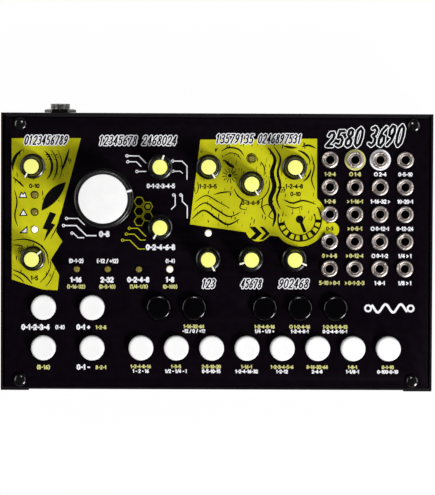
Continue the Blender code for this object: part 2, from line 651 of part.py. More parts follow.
def knob_and_cap(shop, name, diameters, height, sides):
    """Return the meshes of a knob on its shaft and of its cap, pointing to the rear.

    The diameters are those of the skirt, the grip's foot, its top and the cap.
    """
    skirt, grip, top, cap = (diameter / 2 for diameter in diameters)
    recess = cap + SEAT_GAP
    shaft = SHAFT_DIAMETER / 2
    shaft_end = CONTROL_TOP + POT_HEIGHT + SEAT_GAP - PANEL_TOP
    outline = knob_profile(skirt, grip, top, recess, height, 0)
    knob = shop.turned(name, outline + ((shaft, KNOB_LIFT), (shaft, shaft_end), (0, shaft_end)), sides)
    proud = knob_profile(skirt, grip, top, recess, height, POINTER_PROUD)
    pointer = shop.turned(name + "_pointer", proud + ((0, KNOB_LIFT),), sides)
    slab = bmesh.new()
    add_box(slab, (-POINTER_WIDTH / 2, recess, KNOB_LIFT + SKIRT_EDGE / 2),
            (POINTER_WIDTH / 2, skirt + CUT_OVERRUN, height + CUT_OVERRUN))
    strip = bpy.data.objects.new(name + "_slab", mesh_of(slab, name + "_slab"))
    shop.cutters.objects.link(strip)
    combine(pointer, strip, "INTERSECT")
    combine(knob, pointer, "UNION")
    mesh = baked(knob)
    bpy.data.objects.remove(pointer)
    bpy.data.objects.remove(strip)
    profile = ((0, height), (cap, height), (cap, height - CAP_THICKNESS), (0, height - CAP_THICKNESS))
    return mesh, baked(shop.turned(name + "_cap", profile, sides))


def make_knobs(shop):
    """Make the ten small knobs and the large one, each with its cap."""
    small, small_cap = knob_and_cap(
        shop, "small_knob", (SMALL_KNOB_DIAMETER, SMALL_GRIP_DIAMETER, SMALL_TOP_DIAMETER,
                             SMALL_CAP_DIAMETER), SMALL_KNOB_HEIGHT, SMALL_KNOB_SIDES)
    large, large_cap = knob_and_cap(
        shop, "large_knob", (LARGE_KNOB_DIAMETER, LARGE_GRIP_DIAMETER, LARGE_TOP_DIAMETER,
                             LARGE_CAP_DIAMETER), LARGE_KNOB_HEIGHT, LARGE_KNOB_SIDES)
    places = [place + Vector((0, 0, PANEL_TOP)) for place in knob_places()]
    for number, (place, angle) in enumerate(zip(places, SMALL_KNOB_ANGLES), 1):
        turn = -math.radians(angle)
        shop.piece(f"small_knob_{number:02d}", small, "knob", place, turn)
        shop.piece(f"small_knob_cap_{number:02d}", small_cap, "yellow", place, turn)
    turn = -math.radians(LARGE_KNOB_ANGLE)
    shop.piece("large_knob", large, "knob", places[-1], turn)
    shop.piece("large_knob_cap", large_cap, "white", places[-1], turn)


def button_mesh(shop, name):
    """Return the mesh of a round button on its stem, its origin level with the panel's face."""
    radius, stem = BUTTON_DIAMETER / 2, STEM_DIAMETER / 2
    base = BUTTON_PROUD - BUTTON_BODY_HEIGHT
    end = CONTROL_TOP + SWITCH_HEIGHT - STEM_ENTRY - PANEL_TOP
    return baked(shop.turned(name, (
        (0, BUTTON_PROUD), (radius - BUTTON_ROUNDING, BUTTON_PROUD), (radius, BUTTON_PROUD - BUTTON_ROUNDING),
        (radius, base), (stem, base), (stem, end), (0, end)), BUTTON_SIDES))


def make_buttons(shop):
    """Make the keys and the function buttons."""
    white, black = button_mesh(shop, "white_button"), button_mesh(shop, "black_button")
    lift = Vector((0, 0, PANEL_TOP))
    for name, places, mesh, finish in (("white_key", white_key_places(), white, "white"),
                                       ("black_key", black_key_places(), black, "black"),
                                       ("function_button", function_button_places(), white, "white")):
        for number, place in enumerate(places, 1):
            shop.piece(f"{name}_{number}", mesh, finish, place + lift)


def main():
    """Build the whole object."""
    shop = Workshop()
    make_case(shop)
    make_front_panel(shop)
    make_screws_and_feet(shop)
    make_control_board(shop)
    make_jack_board(shop)
    make_main_board(shop)
    make_output_socket(shop)
    make_power_inlet(shop)
    make_knobs(shop)
    make_buttons(shop)


main()
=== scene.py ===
"""Dress a packed desktop synthesiser voice with its finishes, print, controls and studio.

Lengths are in metres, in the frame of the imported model. The panel's layout and print are in
millimetres from the middle of the panel, X to the right and Y to the rear.
"""

import json
import logging
import math
import random
from dataclasses import dataclass, field
from enum import Enum
from functools import cached_property
from typing import Callable, Optional, Sequence

import bmesh
import bpy
from bpy.types import Material, Mesh, Node, NodeSocket, NodeTree, Object
from mathutils import Matrix, Vector
from mathutils.geometry import delaunay_2d_cdt

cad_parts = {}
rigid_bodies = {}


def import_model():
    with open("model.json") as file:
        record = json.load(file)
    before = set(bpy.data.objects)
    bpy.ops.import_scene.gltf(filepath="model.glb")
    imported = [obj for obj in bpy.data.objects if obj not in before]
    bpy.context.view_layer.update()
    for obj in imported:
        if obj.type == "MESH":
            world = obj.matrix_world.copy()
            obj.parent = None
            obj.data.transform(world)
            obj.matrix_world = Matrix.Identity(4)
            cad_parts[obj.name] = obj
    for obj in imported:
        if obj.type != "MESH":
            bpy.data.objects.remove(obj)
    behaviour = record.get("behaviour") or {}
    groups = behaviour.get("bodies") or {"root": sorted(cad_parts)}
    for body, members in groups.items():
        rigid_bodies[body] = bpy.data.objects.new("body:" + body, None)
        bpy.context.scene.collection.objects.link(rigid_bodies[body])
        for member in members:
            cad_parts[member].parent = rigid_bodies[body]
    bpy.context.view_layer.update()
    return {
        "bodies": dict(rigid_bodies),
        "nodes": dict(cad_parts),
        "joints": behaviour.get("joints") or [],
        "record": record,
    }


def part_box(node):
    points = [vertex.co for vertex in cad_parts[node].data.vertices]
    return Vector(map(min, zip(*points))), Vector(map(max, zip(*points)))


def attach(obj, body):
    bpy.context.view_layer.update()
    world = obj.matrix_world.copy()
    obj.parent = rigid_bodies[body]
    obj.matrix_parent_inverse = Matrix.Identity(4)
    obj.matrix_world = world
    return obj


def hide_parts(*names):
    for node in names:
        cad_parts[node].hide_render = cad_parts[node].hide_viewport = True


Colour = tuple[float, float, float]
Place = Sequence[float]
Point = tuple[float, float]
Outline = list[Point]

LOG = logging.getLogger("synth_voice")
MM = 0.001
SMOOTH_BELOW = math.radians(35)
# Distances, in metres or millimetres, below which two points count as one
WELD = 1e-7
ON_AXIS = 1e-9
SAME_POINT_MM = 1e-5
SHORTEST_STROKE_MM = 0.01
# The kind of triangulation that keeps only what lies inside the outlines
INSIDE_ONLY = 1
# A brush line's width at its ends, as a share of its widest place, and how soon it swells
BRUSH_TIP = 0.18
BRUSH_SWELL = 0.7
# The width of a figure that is one high
FIGURE_WIDTH = 0.6


class Slot(Enum):
    """The record's material slots, one named for each new piece."""

    PANEL = "panel_black"
    SCREW = "screw_black"
    RUBBER = "foot_rubber"
    BOARD = "board_green"
    NICKEL = "socket_nickel"
    MOULDING = "black_moulding"
    YELLOW = "cap_yellow"
    WHITE = "button_white"
    KNOB = "knob_black"
    BLACK = "button_black"


# Shader groups


class NodeBoard:
    """Adds nodes to a shader tree and links them."""

    def __init__(self, tree: NodeTree) -> None:
        """Take the tree that the nodes go into."""
        self.tree = tree

    def node(self, kind: str, values: Optional[dict] = None, **settings: object) -> Node:
        """Add a node.

        Args:
            kind: The node's type.
            values: What its inputs are set to, by name or number.
            settings: Attributes to set on it.

        Returns:
            The new node.
        """
        new = self.tree.nodes.new(kind)
        for key, value in settings.items():
            setattr(new, key, value)
        for key, value in (values or {}).items():
            new.inputs[key].default_value = value
        return new

    def link(self, *pairs: tuple[NodeSocket, NodeSocket]) -> None:
        """Link outputs to inputs, given in pairs."""
        for start, end in pairs:
            self.tree.links.new(start, end)


class GroupMaker(NodeBoard):
    """Builds one shader node group, whose first input is the place on the surface."""

    def __init__(self, name: str, takes: dict[str, object], gives: Sequence[str]) -> None:
        """Start a group with its sockets.

        Args:
            name: The group's name.
            takes: Its other inputs with their default values, numbers or colours.
            gives: Its outputs, of which one named Color is a colour.
        """
        super().__init__(bpy.data.node_groups.new(name, "ShaderNodeTree"))
        sockets = self.tree.interface
        sockets.new_socket(name="Vector", in_out="INPUT", socket_type="NodeSocketVector")
        for key, value in takes.items():
            kind = "NodeSocketColor" if isinstance(value, tuple) else "NodeSocketFloat"
            sockets.new_socket(name=key, in_out="INPUT", socket_type=kind).default_value = value
        for key in gives:
            kind = "NodeSocketColor" if key == "Color" else "NodeSocketFloat"
            sockets.new_socket(name=key, in_out="OUTPUT", socket_type=kind)
        self.source = self.node("NodeGroupInput").outputs
        self.sink = self.node("NodeGroupOutput").inputs

    def noise(self, factor: float, detail: float) -> NodeSocket:
        """Add a noise texture that follows the group's scale.

        Args:
            factor: What the scale is multiplied by.
            detail: The number of finer layers.

        Returns:
            The output of the noise.
        """
        times = self.node("ShaderNodeMath", {1: factor}, operation="MULTIPLY")
        texture = self.node("ShaderNodeTexNoise", {"Detail": detail})
        self.link((self.source["Scale"], times.inputs[0]),
                  (times.outputs[0], texture.inputs["Scale"]),
                  (self.source["Vector"], texture.inputs["Vector"]))
        return texture.outputs["Fac"]


def grain_group() -> NodeTree:
    """Build the fine grain of moulded and powder-coated surfaces.

    Returns:
        The group, which gives a height.
    """
    maker = GroupMaker("surface_grain", {"Scale": 900.0}, ("Height",))
    fine_share, fine_factor = 0.4, 2.7
    blend = maker.node("ShaderNodeMix", {0: fine_share}, data_type="FLOAT")
    maker.link((maker.noise(1.0, 2.0), blend.inputs[2]),
               (maker.noise(fine_factor, 1.0), blend.inputs[3]),
               (blend.outputs[0], maker.sink["Height"]))
    return maker.tree


def drift_group() -> NodeTree:
    """Build the slow drift of a surface between two colours.

    Returns:
        The group, which gives a colour.
    """
    maker = GroupMaker("tone_drift", {
        "Scale": 60.0, "Balance": 0.5, "Softness": 0.15, "First": (0.5, 0.5, 0.5, 1.0),
        "Second": (0.4, 0.4, 0.4, 1.0)}, ("Color",))
    spread = maker.node("ShaderNodeMapRange", interpolation_type="SMOOTHSTEP")
    blend = maker.node("ShaderNodeMix", data_type="RGBA")
    for operation, end in (("SUBTRACT", "From Min"), ("ADD", "From Max")):
        edge = maker.node("ShaderNodeMath", operation=operation)
        maker.link((maker.source["Balance"], edge.inputs[0]),
                   (maker.source["Softness"], edge.inputs[1]),
                   (edge.outputs[0], spread.inputs[end]))
    maker.link((maker.noise(1.0, 3.0), spread.inputs["Value"]),
               (spread.outputs["Result"], blend.inputs[0]),
               (maker.source["First"], blend.inputs[6]), (maker.source["Second"], blend.inputs[7]),
               (blend.outputs[2], maker.sink["Color"]))
    return maker.tree


def gloss_group() -> NodeTree:
    """Build the uneven gloss that handling leaves.

    Returns:
        The group, which gives a roughness.
    """
    maker = GroupMaker("handled_gloss", {"Scale": 120.0, "Least": 0.35, "Most": 0.5},
                       ("Roughness",))
    spread = maker.node("ShaderNodeMapRange", {"From Min": 0.3, "From Max": 0.7})
    maker.link((maker.noise(1.0, 4.0), spread.inputs["Value"]),
               (maker.source["Least"], spread.inputs["To Min"]),
               (maker.source["Most"], spread.inputs["To Max"]),
               (spread.outputs["Result"], maker.sink["Roughness"]))
    return maker.tree


def lathe_group() -> NodeTree:
    """Build the rings that a lathe leaves round the object's own Z axis.

    Returns:
        The group, which gives a height.
    """
    maker = GroupMaker("lathe_marks", {"Spacing": 0.0001}, ("Height",))
    flat = maker.node("ShaderNodeVectorMath", {1: (1.0, 1.0, 0.0)}, operation="MULTIPLY")
    radius = maker.node("ShaderNodeVectorMath", operation="LENGTH")
    turns = maker.node("ShaderNodeMath", operation="DIVIDE")
    wave = maker.node("ShaderNodeMath", {1: 0.5}, operation="PINGPONG")
    maker.link((maker.source["Vector"], flat.inputs[0]), (flat.outputs[0], radius.inputs[0]),
               (radius.outputs["Value"], turns.inputs[0]),
               (maker.source["Spacing"], turns.inputs[1]), (turns.outputs[0], wave.inputs[0]),
               (wave.outputs[0], maker.sink["Height"]))
    return maker.tree


@dataclass(frozen=True)
class ShaderGroups:
    """The node groups that the finishes share, each built once."""

    grain: NodeTree = field(default_factory=grain_group)
    drift: NodeTree = field(default_factory=drift_group)
    gloss: NodeTree = field(default_factory=gloss_group)
    lathe: NodeTree = field(default_factory=lathe_group)


# Finishes


@dataclass(frozen=True)
class Finish:
    """One surface finish, which drifts between two colours and two roughnesses.

    Scales are in waves a metre, and depths in metres.
    """

    name: str
    colour: Colour
    drift: Colour
    gloss: tuple[float, float]
    metallic: float = 0.0
    specular: float = 0.5
    drift_scale: float = 90.0
    drift_balance: float = 0.5
    drift_softness: float = 0.15
    gloss_scale: float = 150.0
    grain_scale: float = 1500.0
    grain_depth: float = 0.00001
    lathe_spacing: float = 0.0
    coat: float = 0.0
    glow: float = 0.0

    def make(self, groups: ShaderGroups) -> Material:
        """Build the finish as a material.

        Args:
            groups: The shared node groups.

        Returns:
            The material.
        """
        material = bpy.data.materials.new(self.name)
        material.use_nodes = True
        board = NodeBoard(material.node_tree)
        shader = material.node_tree.nodes["Principled BSDF"].inputs
        place = board.node("ShaderNodeTexCoord").outputs["Object"]

        def put(group: NodeTree, result: str, **values: object) -> NodeSocket:
            """Place a shared group with its own values.

            Args:
                group: The group.
                result: The output that is wanted.
                values: What its inputs are set to.

            Returns:
                That output.
            """
            node = board.node("ShaderNodeGroup", values, node_tree=group)
            board.link((place, node.inputs["Vector"]))
            return node.outputs[result]

        tone = put(groups.drift, "Color", Scale=self.drift_scale, Balance=self.drift_balance,
                   Softness=self.drift_softness, First=(*self.colour, 1.0),
                   Second=(*self.drift, 1.0))
        gloss = put(groups.gloss, "Roughness", Scale=self.gloss_scale, Least=self.gloss[0],
                    Most=self.gloss[1])
        if self.lathe_spacing:
            marks = put(groups.lathe, "Height", Spacing=self.lathe_spacing)
        else:
            marks = put(groups.grain, "Height", Scale=self.grain_scale)
        bump = board.node("ShaderNodeBump", {"Distance": self.grain_depth})
        board.link((tone, shader["Base Color"]), (gloss, shader["Roughness"]),
                   (marks, bump.inputs["Height"]), (bump.outputs["Normal"], shader["Normal"]))
        shader["Metallic"].default_value = self.metallic
        shader["Specular IOR Level"].default_value = self.specular
        shader["Coat Weight"].default_value = self.coat
        if self.glow:
            board.link((tone, shader["Emission Color"]))
            shader["Emission Strength"].default_value = self.glow
        return material


PANEL_PAINT = Finish("panel_paint", (0.0020, 0.0009, 0.0023), (0.0029, 0.0014, 0.0035),
                     (0.42, 0.55), specular=0.02, drift_scale=260.0, grain_scale=2600.0,
                     grain_depth=0.000006)
CASE_COAT = Finish("case_powder_coat", (0.0028, 0.0019, 0.0030), (0.0044, 0.0032, 0.0047),
                   (0.45, 0.60), specular=0.12, drift_scale=120.0, grain_scale=1900.0,
                   grain_depth=0.000016)
YELLOW_INK = Finish("yellow_ink", (0.57, 0.56, 0.011), (0.31, 0.30, 0.004), (0.42, 0.55),
                    specular=0.03, drift_scale=36.0, drift_balance=0.55, drift_softness=0.25,
                    grain_depth=0.000004)
LABEL_YELLOW = Finish("yellow_label_ink", (0.57, 0.56, 0.22), (0.49, 0.48, 0.17), (0.42, 0.55),
                      specular=0.05, drift_scale=300.0, grain_depth=0.000004)
BLACK_INK = Finish("black_ink", (0.0020, 0.0016, 0.0018), (0.0034, 0.0030, 0.0030), (0.40, 0.50),
                   specular=0.05, grain_depth=0.000004)
WHITE_INK = Finish("white_ink", (0.80, 0.80, 0.83), (0.72, 0.72, 0.76), (0.40, 0.50), specular=0.10,
                   drift_scale=300.0, grain_depth=0.000004)
POINTER_INK = Finish("pointer_ink", (0.86, 0.86, 0.72), (0.82, 0.82, 0.66), (0.34, 0.44),
                     specular=0.20, drift_scale=400.0, grain_depth=0.000002)
KNOB_PLASTIC = Finish("knob_plastic", (0.0012, 0.0010, 0.0013), (0.0018, 0.0015, 0.0019),
                      (0.25, 0.31), specular=0.70, grain_scale=2200.0, grain_depth=0.000002)
CAP_PLASTIC = Finish("yellow_cap_plastic", (0.85, 0.85, 0.24), (0.82, 0.83, 0.19), (0.36, 0.46),
                     specular=0.20, drift_scale=180.0, grain_depth=0.000003)
WHITE_PLASTIC = Finish("white_cap_plastic", (0.83, 0.83, 0.825), (0.80, 0.80, 0.80), (0.34, 0.44),
                       specular=0.20, drift_scale=140.0, grain_depth=0.000003)
BLACK_PLASTIC = Finish("black_key_plastic", (0.0009, 0.0006, 0.0010), (0.0013, 0.0009, 0.0014),
                       (0.10, 0.14), specular=0.50, grain_depth=0.000002)
NICKEL = Finish("turned_nickel", (0.78, 0.70, 0.66), (0.50, 0.445, 0.415), (0.28, 0.40),
                metallic=1.0, drift_scale=420.0, lathe_spacing=0.00016, grain_depth=0.00004)
BARE_STEEL = Finish("recess_steel", (0.55, 0.53, 0.52), (0.42, 0.40, 0.39), (0.22, 0.34),
                    metallic=1.0, drift_scale=500.0)
SCREW_STEEL = Finish("black_zinc_screw", (0.003, 0.0026, 0.003), (0.005, 0.0045, 0.005),
                     (0.12, 0.18), specular=0.55, drift_scale=500.0, grain_depth=0.000004)
THREAD_METAL = Finish("output_thread_metal", (0.36, 0.35, 0.34), (0.24, 0.23, 0.225), (0.28, 0.40),
                      metallic=1.0, drift_scale=300.0)
RUBBER = Finish("foot_rubber", (0.012, 0.012, 0.012), (0.020, 0.020, 0.019), (0.75, 0.88),
                specular=0.3, grain_scale=1200.0, grain_depth=0.00003)
MOULDING = Finish("black_moulding", (0.008, 0.008, 0.008), (0.014, 0.014, 0.014), (0.42, 0.55),
                  specular=0.4)
BORE_BLACK = Finish("bore_black", (0.0016, 0.0014, 0.0016), (0.0024, 0.0022, 0.0024), (0.60, 0.75),
                    specular=0.08)
BOARD_MASK = Finish("solder_mask", (0.006, 0.060, 0.022), (0.010, 0.085, 0.034), (0.30, 0.42),
                    specular=0.5, drift_scale=240.0, coat=0.3)
BRASS = Finish("spacer_brass", (0.62, 0.46, 0.20), (0.50, 0.36, 0.15), (0.26, 0.38), metallic=1.0,
               drift_scale=300.0)
LAMP_DARK = Finish("unlit_lens", (0.24, 0.19, 0.030), (0.14, 0.115, 0.020), (0.12, 0.2),
                   specular=0.4, drift_scale=700.0, grain_depth=0.000001)
LAMP_LIT = Finish("lit_lens", (0.98, 0.94, 0.78), (0.98, 0.90, 0.62), (0.15, 0.25), specular=0.3,
                  drift_scale=500.0, grain_depth=0.000001, glow=0.40)


class Bench:
    """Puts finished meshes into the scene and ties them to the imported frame."""

    def __init__(self, frame: dict) -> None:
        """Build the shared groups and measure the panel.
        """
        self.frame = frame
        self.groups = ShaderGroups()
        self.materials: dict[str, Material] = {}
        low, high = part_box("front_panel")
        self.panel_size = high - low
        self.face = Vector(middle("front_panel", high.z))
        self.count = 0

    def finish(self, finish: Finish) -> Material:
        """Look up a finish's material, built at its first use.

        Args:
            finish: The finish.

        Returns:
            Its material.
        """
        if finish.name not in self.materials:
            self.materials[finish.name] = finish.make(self.groups)
        return self.materials[finish.name]

    def spot(self, point: Point) -> Vector:
        """Return the place on the panel's face of a point in millimetres from its middle."""
        return self.face + Vector((point[0] * MM, point[1] * MM, 0.0))

    def add(self, name: str, mesh: Mesh, finish: Finish, slot: Slot, *,
            body: str = "root", place: Place = (0.0, 0.0, 0.0), turn: float = 0.0,
            to_rear: bool = False, stands_for: Sequence[str] = ()) -> None:
        """Add a piece of the object.

        Args:
            name: The piece's name.
            mesh: Its mesh, in metres.
            finish: Its finish.
            slot: The record's slot that goes with its finish; not used.
            body: The CAD body that it rides on.
            place: Where its origin stands.
            turn: Its turn about Z, in radians.
            to_rear: Whether its axis lies towards the rear instead.
            stands_for: The CAD nodes that it replaces.
        """
        if not mesh.materials:
            mesh.materials.append(self.finish(finish))
        piece = bpy.data.objects.new(name, mesh)
        piece.location = place
        piece.rotation_euler = (-math.pi / 2 if to_rear else 0.0, 0.0, turn)
        bpy.context.scene.collection.objects.link(piece)
        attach(piece, body)
        if stands_for:
            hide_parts(*stands_for)
        self.count += 1
        LOG.info("%s on %s, %d faces", name, body, len(mesh.polygons))


class Fitting:
    """A group of pieces that is put on the bench in one go."""

    def build(self, bench: Bench) -> None:
        """Make the pieces and put them in place.

        Args:
            bench: The bench that takes them.
        """
        raise NotImplementedError


class KeptSolids(Fitting):
    """The CAD nodes that stay in view and only get a finish."""

    finishes = {"case": CASE_COAT, "control_board": BOARD_MASK, "main_board": BOARD_MASK,
                "board_link": MOULDING, "board_spacer_1": BRASS, "board_spacer_2": BRASS,
                "board_spacer_3": BRASS, "board_spacer_4": BRASS}

    def build(self, bench: Bench) -> None:
        """Give each node its finish.

        Args:
            bench: The bench.
        """
        for node, finish in self.finishes.items():
            for holder in bench.frame["nodes"][node].material_slots:
                holder.material = bench.finish(finish)


# Shapes


def middle(node: str, height: Optional[float] = None) -> tuple[float, float, float]:
    """Find the middle of a CAD node's box.

    Args:
        node: The CAD node.
        height: What takes the place of the middle's height, if anything.

    Returns:
        The point.
    """
    low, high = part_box(node)
    level = (low.z + high.z) / 2 if height is None else height
    return (low.x + high.x) / 2, (low.y + high.y) / 2, level


def smooth(mesh: Mesh) -> Mesh:
    """Shade a mesh's round stretches smooth and keep its edges sharp.

    Args:
        mesh: The mesh.

    Returns:
        The same mesh.
    """
    mesh.shade_smooth()
    mesh.set_sharp_from_angle(angle=SMOOTH_BELOW)
    return mesh


def mesh_of(shape: bmesh.types.BMesh, name: str) -> Mesh:
    """Turn a bmesh into a smooth mesh.

    Args:
        shape: The bmesh, which is freed.
        name: The mesh's name.

    Returns:
        The mesh.
    """
    bmesh.ops.recalc_face_normals(shape, faces=shape.faces)
    mesh = bpy.data.meshes.new(name)
    shape.to_mesh(mesh)
    shape.free()
    return smooth(mesh)


def evaluated(thing: Object, *others: Object) -> Mesh:
    """Turn an object into the mesh that its curve or modifiers make.

    Args:
        thing: The object.
        others: The objects that its modifiers use. All of them are removed.

    Returns:
        The mesh.
    """
    for part in (thing, *others):
        bpy.context.scene.collection.objects.link(part)
    bpy.context.view_layer.update()
    graph = bpy.context.evaluated_depsgraph_get()
    made = bpy.data.meshes.new_from_object(thing.evaluated_get(graph))
    for part in (thing, *others):
        bpy.data.objects.remove(part)
    return made


def cut(mesh: Mesh, cutter: Mesh) -> Mesh:
    """Cut one mesh out of another.

    Args:
        mesh: The mesh that is cut.
        cutter: The mesh that is cut out of it.

    Returns:
        What is left.
    """
    body, tool = (bpy.data.objects.new(part.name, part) for part in (mesh, cutter))
    change = body.modifiers.new("cut", "BOOLEAN")
    change.operation, change.object, change.solver = "DIFFERENCE", tool, "EXACT"
    return smooth(evaluated(body, tool))


def arc(centre: Point, radius: float, start: float, end: float, steps: int = 6) -> Outline:
    """Return points on an arc.

    Args:
        centre: The arc's centre.
        radius: Its radius.
        start: The first point's angle in degrees.
        end: The last point's angle in degrees.
        steps: The number of stretches.

    Returns:
        The points.
    """
    angles = [math.radians(start + (end - start) * step / steps) for step in range(steps + 1)]
    return [(centre[0] + radius * math.cos(angle), centre[1] + radius * math.sin(angle))
            for angle in angles]


def circle(centre: Point, radius: float, sides: int) -> Outline:
    """Return the corners of a circle, counter-clockwise."""
    return arc(centre, radius, 0, 360 - 360 / sides, sides - 1)


def lathe(name: str, profile: Sequence[Point], steps: int = 96, closed: bool = False,
          change: Optional[Callable[[int, float, float], Point]] = None) -> Mesh:
    """Turn a profile of radius and height about Z.

    Args:
        name: The mesh's name.
        profile: The profile's points.
        steps: The number of stretches round the axis.
        closed: Whether the last point joins the first, as in a ring.
        change: What changes a point of one stretch, given its number, radius and height.

    Returns:
        The turned mesh.
    """
    shape = bmesh.new()
    rings = []
    for radius, height in profile:
        if radius < ON_AXIS:
            rings.append([shape.verts.new((0.0, 0.0, height))])
            continue
        ring = []
        for step in range(steps):
            angle = math.tau * step / steps
            wide, level = change(step, radius, height) if change else (radius, height)
            ring.append(shape.verts.new((wide * math.cos(angle), wide * math.sin(angle), level)))
        rings.append(ring)
    for first, second in zip(rings, rings[1:] + (rings[:1] if closed else [])):
        for step in range(steps):
            after = (step + 1) % steps
            corners = list(dict.fromkeys((
                first[step % len(first)], first[after % len(first)],
                second[after % len(second)], second[step % len(second)])))
            if len(corners) > 2:
                shape.faces.new(corners)
    return mesh_of(shape, name)


def rod(name: str, radius: float, low: float, high: float) -> Mesh:
    """Return a round rod along Z between two heights."""
    return lathe(name, [(0.0, low), (radius, low), (radius, high), (0.0, high)], 64)


def add_block(shape: bmesh.types.BMesh, low: Vector, high: Vector, rounding: float) -> None:
    """Add a box between two corners to a bmesh.

    Args:
        shape: The bmesh.
        low: The lowest corner.
        high: The highest corner.
        rounding: The radius of its edges.
    """
    place = Matrix.Translation((low + high) / 2) @ Matrix.Diagonal((*(high - low), 1.0))
    made = bmesh.ops.create_cube(shape, size=1.0, matrix=place)
    edges = list({edge for vert in made["verts"] for edge in vert.link_edges})
    bmesh.ops.bevel(shape, geom=edges, offset=rounding, segments=2, profile=0.5, affect="EDGES")


# Print

# Figures and signs: how far each moves on, and its lines in a box of one high
GLYPHS: dict[str, tuple[float, tuple[Outline, ...]]] = {
    "0": (0.78, ([(0.3, 1.0), (0.08, 0.85), (0.02, 0.5), (0.08, 0.15), (0.3, 0.0), (0.52, 0.15),
                  (0.58, 0.5), (0.52, 0.85), (0.3, 1.0)],)),
    "1": (0.58, ([(0.08, 0.8), (0.28, 1.0), (0.28, 0.0)],)),
    "2": (0.78, ([(0.03, 0.78), (0.15, 0.97), (0.42, 0.99), (0.56, 0.8), (0.5, 0.55), (0.05, 0.0),
                  (0.58, 0.0)],)),
    "3": (0.78, ([(0.05, 0.92), (0.3, 1.0), (0.53, 0.85), (0.5, 0.62), (0.25, 0.53), (0.55, 0.4),
                  (0.57, 0.15), (0.3, 0.0), (0.03, 0.1)],)),
    "4": (0.80, ([(0.42, 0.0), (0.42, 1.0), (0.02, 0.3), (0.6, 0.3)],)),
    "5": (0.78, ([(0.53, 1.0), (0.1, 1.0), (0.07, 0.57), (0.35, 0.62), (0.56, 0.42), (0.52, 0.1),
                  (0.28, 0.0), (0.03, 0.1)],)),
    "6": (0.78, ([(0.5, 0.97), (0.2, 0.75), (0.05, 0.35), (0.12, 0.06), (0.35, 0.0), (0.57, 0.2),
                  (0.5, 0.48), (0.25, 0.54), (0.07, 0.35)],)),
    "7": (0.76, ([(0.03, 1.0), (0.57, 1.0), (0.22, 0.0)],)),
    "8": (0.78, ([(0.3, 0.54), (0.1, 0.7), (0.13, 0.93), (0.3, 1.0), (0.47, 0.93), (0.5, 0.7),
                  (0.3, 0.54), (0.06, 0.34), (0.08, 0.1), (0.3, 0.0), (0.52, 0.1), (0.54, 0.34),
                  (0.3, 0.54)],)),
    "9": (0.78, ([(0.1, 0.03), (0.4, 0.25), (0.55, 0.65), (0.48, 0.94), (0.25, 1.0), (0.03, 0.8),
                  (0.1, 0.52), (0.35, 0.46), (0.53, 0.65)],)),
    "-": (0.62, ([(0.1, 0.45), (0.46, 0.45)],)),
    "+": (0.72, ([(0.06, 0.45), (0.58, 0.45)], [(0.32, 0.17), (0.32, 0.73)])),
    "/": (0.66, ([(0.08, -0.05), (0.5, 1.05)],)),
    "(": (0.44, ([(0.3, 1.1), (0.12, 0.75), (0.12, 0.25), (0.3, -0.1)],)),
    ")": (0.44, ([(0.1, 1.1), (0.28, 0.75), (0.28, 0.25), (0.1, -0.1)],)),
    ">": (0.70, ([(0.08, 0.78), (0.52, 0.45), (0.08, 0.12)],)),
    "o": (1.10, ([(0.45 + 0.45 * x, 0.5 + 0.5 * y) for x, y in arc((0, 0), 1, 0, 360, 12)],)),
    " ": (0.36, ()),
}


def smooth_path(points: Sequence[Point], steps: int = 7) -> Outline:
    """Return a smooth path through some points.

    Args:
        points: The points.
        steps: The stretches between two points.

    Returns:
        The path, as a Catmull-Rom curve.
    """
    ends = [points[0], *points, points[-1]]
    path = []
    for index in range(1, len(ends) - 2):
        a, b, c, d = (Vector(ends[index + shift]) for shift in (-1, 0, 1, 2))
        for step in range(steps):
            t = step / steps
            spot = 0.5 * (2 * b + (c - a) * t + (2 * a - 5 * b + 4 * c - d) * t * t
                          + (3 * b - a - 3 * c + d) * t ** 3)
            path.append((spot.x, spot.y))
    return path + [tuple(points[-1])]


def left_of(along: Vector) -> Vector:
    """Return a flat vector turned a quarter to the left."""
    return Vector((-along.y, along.x))


